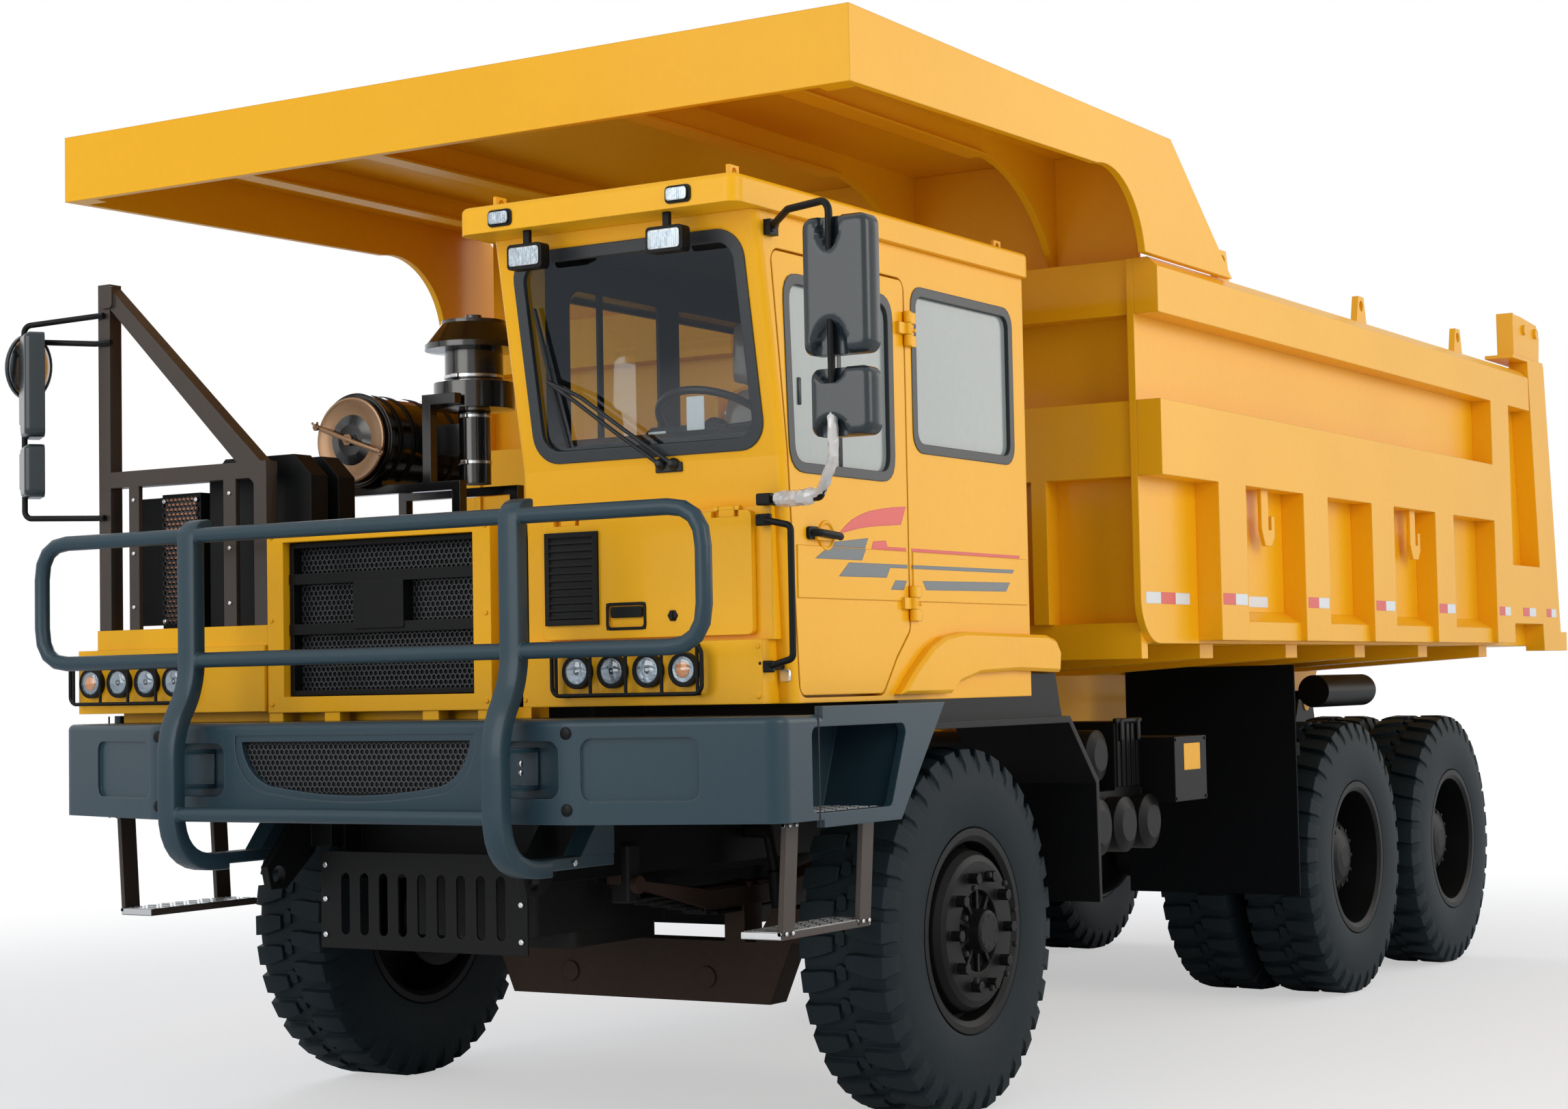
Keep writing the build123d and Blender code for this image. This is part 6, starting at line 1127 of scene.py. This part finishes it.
# Air cleaner: gloss black drum with rolled steel bands, a bronze-lacquered cover held by a strap with wing
# nuts, and bright worm-drive clamps on its pipes.
GLOSS_BLACK = finish_material("gloss_black_enamel", (0.003, 0.003, 0.003, 1), (0.006, 0.006, 0.006, 1), 0.18,
                              coat=0.6, dust=0.0, gloss=0.5)
BRONZE = finish_material("cover_bronze", (0.26, 0.15, 0.075, 1), (0.36, 0.21, 0.11, 1), 0.34, metal=0.6,
                         coat=0.2, dust=0.05)
dress(GLOSS_BLACK, "air_cleaner")
DRUM_X, DRUM_Z = -850, 2541
PIPE_X, PIPE_Y = -470, -430
STRAP_REACH, STRAP_TURN = 172, math.radians(160)
cover = bmesh.new()
add_turned(cover, (DRUM_X, -709, DRUM_Z), (0, -1, 0), [(-1, 160), (3, 166), (12, 166), (14, 158), (10, 150),
                                                       (5, 110), (2, 60), (1, 6)], 48)
finish_piece("drum_cover", cover, BRONZE)
bands = bmesh.new()
for y in (-640, -560, -420, -300):
    add_turned(bands, (DRUM_X, y, DRUM_Z), (0, 1, 0), [(0, 178.4), (0, 182), (22, 182), (22, 178.4)], 48)
finish_piece("drum_bands", bands, BLACK)
strap = bmesh.new()
dx, dz = STRAP_REACH * math.cos(STRAP_TURN), STRAP_REACH * math.sin(STRAP_TURN)
for x, z in ((DRUM_X + dx, DRUM_Z + dz), (DRUM_X - dx, DRUM_Z - dz)):
    add_hex(strap, x, -730, z, (0, -1, 0), 15, 10)
    for lean in (-14, 14):
        add_tube(strap, [(x, -738, z), (x + lean, -741, z + 18)], 4.5, 6)
add_tube(strap, [(DRUM_X + dx, -722, DRUM_Z + dz), (DRUM_X, -738, DRUM_Z), (DRUM_X - dx, -722, DRUM_Z - dz)],
         10, 8)
add_turned(strap, (DRUM_X, -734, DRUM_Z), (0, -1, 0), [(0, 24), (8, 24), (8, 13), (13, 10)], 6)
finish_piece("cover_strap", strap, BRONZE)
clamps = bmesh.new()
for z, r in ((2440, 62.5), (2620, 62.5), (2772, 114)):
    add_turned(clamps, (PIPE_X, PIPE_Y, z), (0, 0, 1), [(0, r), (0, r + 2.5), (13, r + 2.5), (13, r)], 40)
    add_box(clamps, PIPE_X - 16, PIPE_X + 16, PIPE_Y - r - 12, PIPE_Y - r, z - 2, z + 15, 2)
finish_piece("hose_clamps", clamps, BRIGHT)

# Stripes on the cab's left side: red and slate shapes cut from thin film and rolled on, half a millimetre
# thick here, on the door and on the wall beside it.
GREY = finish_material("stripe_slate", (0.085, 0.105, 0.115, 1), (0.105, 0.125, 0.135, 1), 0.42, coat=0.2,
                       dust=0.05)
FILM_THICK = 0.5
SKIN_X, BAND_X = 1500.1, 1504.1
swoosh = [(-1020, 2058), (-975, 2086), (-930, 2109), (-870, 2129), (-808, 2144), (-720, 2156), (-646, 2164),
          (-556, 2170), (-592, 2106), (-660, 2101), (-736, 2096), (-810, 2090), (-884, 2081), (-950, 2070)]
# Films: look, body, surface X, outline of Y and Z
films = ((RED, "cab_door", SKIN_X, swoosh),
         (RED, "cab_door", SKIN_X, [(-788, 2042), (-701, 2048), (-689, 2027), (-560, 2027), (-560, 2015.5),
                                    (-800, 2015.5)]),
         (RED, "chassis", SKIN_X, [(-522, 2027), (314, 2027), (307, 2015.5), (-522, 2015.5)]),
         (GREY, "cab_door", BAND_X, [(-1178, 1973), (-1092, 2013), (-845, 2013), (-872, 1975)]),
         (GREY, "cab_door", SKIN_X, [(-1088, 2015.5), (-1060, 2030), (-821, 2052), (-844, 2015.5)]),
         (GREY, "cab_door", BAND_X, [(-959, 1966), (-560, 1969), (-560, 1956), (-682, 1955), (-707, 1921),
                                     (-1027, 1918)]),
         (GREY, "chassis", BAND_X, [(-522, 1969), (256, 1973), (242, 1959), (-522, 1956)]),
         (GREY, "cab_door", BAND_X, [(-645, 1914), (-566, 1914), (-590, 1881), (-679, 1881)]),
         (GREY, "chassis", BAND_X, [(-453, 1916), (220, 1925), (187, 1891), (-428, 1884)]))
for number, (look, body, level, outline) in enumerate(films):
    bm = bmesh.new()
    add_slab(bm, outline, side_lift, level, level + FILM_THICK)
    finish_piece(f"side_stripe_{number}", bm, look, body)

# Reflective tape: glass-beaded film in red and white blocks, stuck along both sides of the dump body, in its
# bays and on its posts.
TAPE_WHITE = finish_material("tape_white", (0.66, 0.70, 0.72, 1), (0.76, 0.79, 0.80, 1), 0.35, grain=900.0,
                             depth=0.3, dust=0.05)
BAY_X, POST_X = 1650.1, 1755.1
TAPE_LOW, TAPE_HIGH = 1858, 1905
TAPE_ROWS = ((BAY_X, 1118, 1556), (POST_X, 1660, 1925), (BAY_X, 1960, 2420), (POST_X, 2640, 2900),
             (BAY_X, 2940, 3190), (POST_X, 3535, 3805), (BAY_X, 3845, 4080), (POST_X, 4480, 4735),
             (BAY_X, 4770, 5010), (POST_X, 5500, 5700), (POST_X, 5935, 6180), (POST_X, 6390, 6585))
red_tape, white_tape = bmesh.new(), bmesh.new()
for side in (1, -1):
    for index, (level, y0, y1) in enumerate(TAPE_ROWS):
        blocks = 2 if index else 3
        long = (y1 - y0) / blocks
        for block in range(blocks):
            strip = red_tape if (block + (index != 0)) % 2 else white_tape
            near, far = y0 + block * long, y0 + (block + 1) * long
            outline = [(near, TAPE_LOW), (far, TAPE_LOW), (far, TAPE_HIGH), (near, TAPE_HIGH)]
            add_slab(strip, outline, side_lift, side * level, side * (level + FILM_THICK))
finish_piece("body_tape_red", red_tape, RED, "dump_body")
finish_piece("body_tape_white", white_tape, TAPE_WHITE, "dump_body")
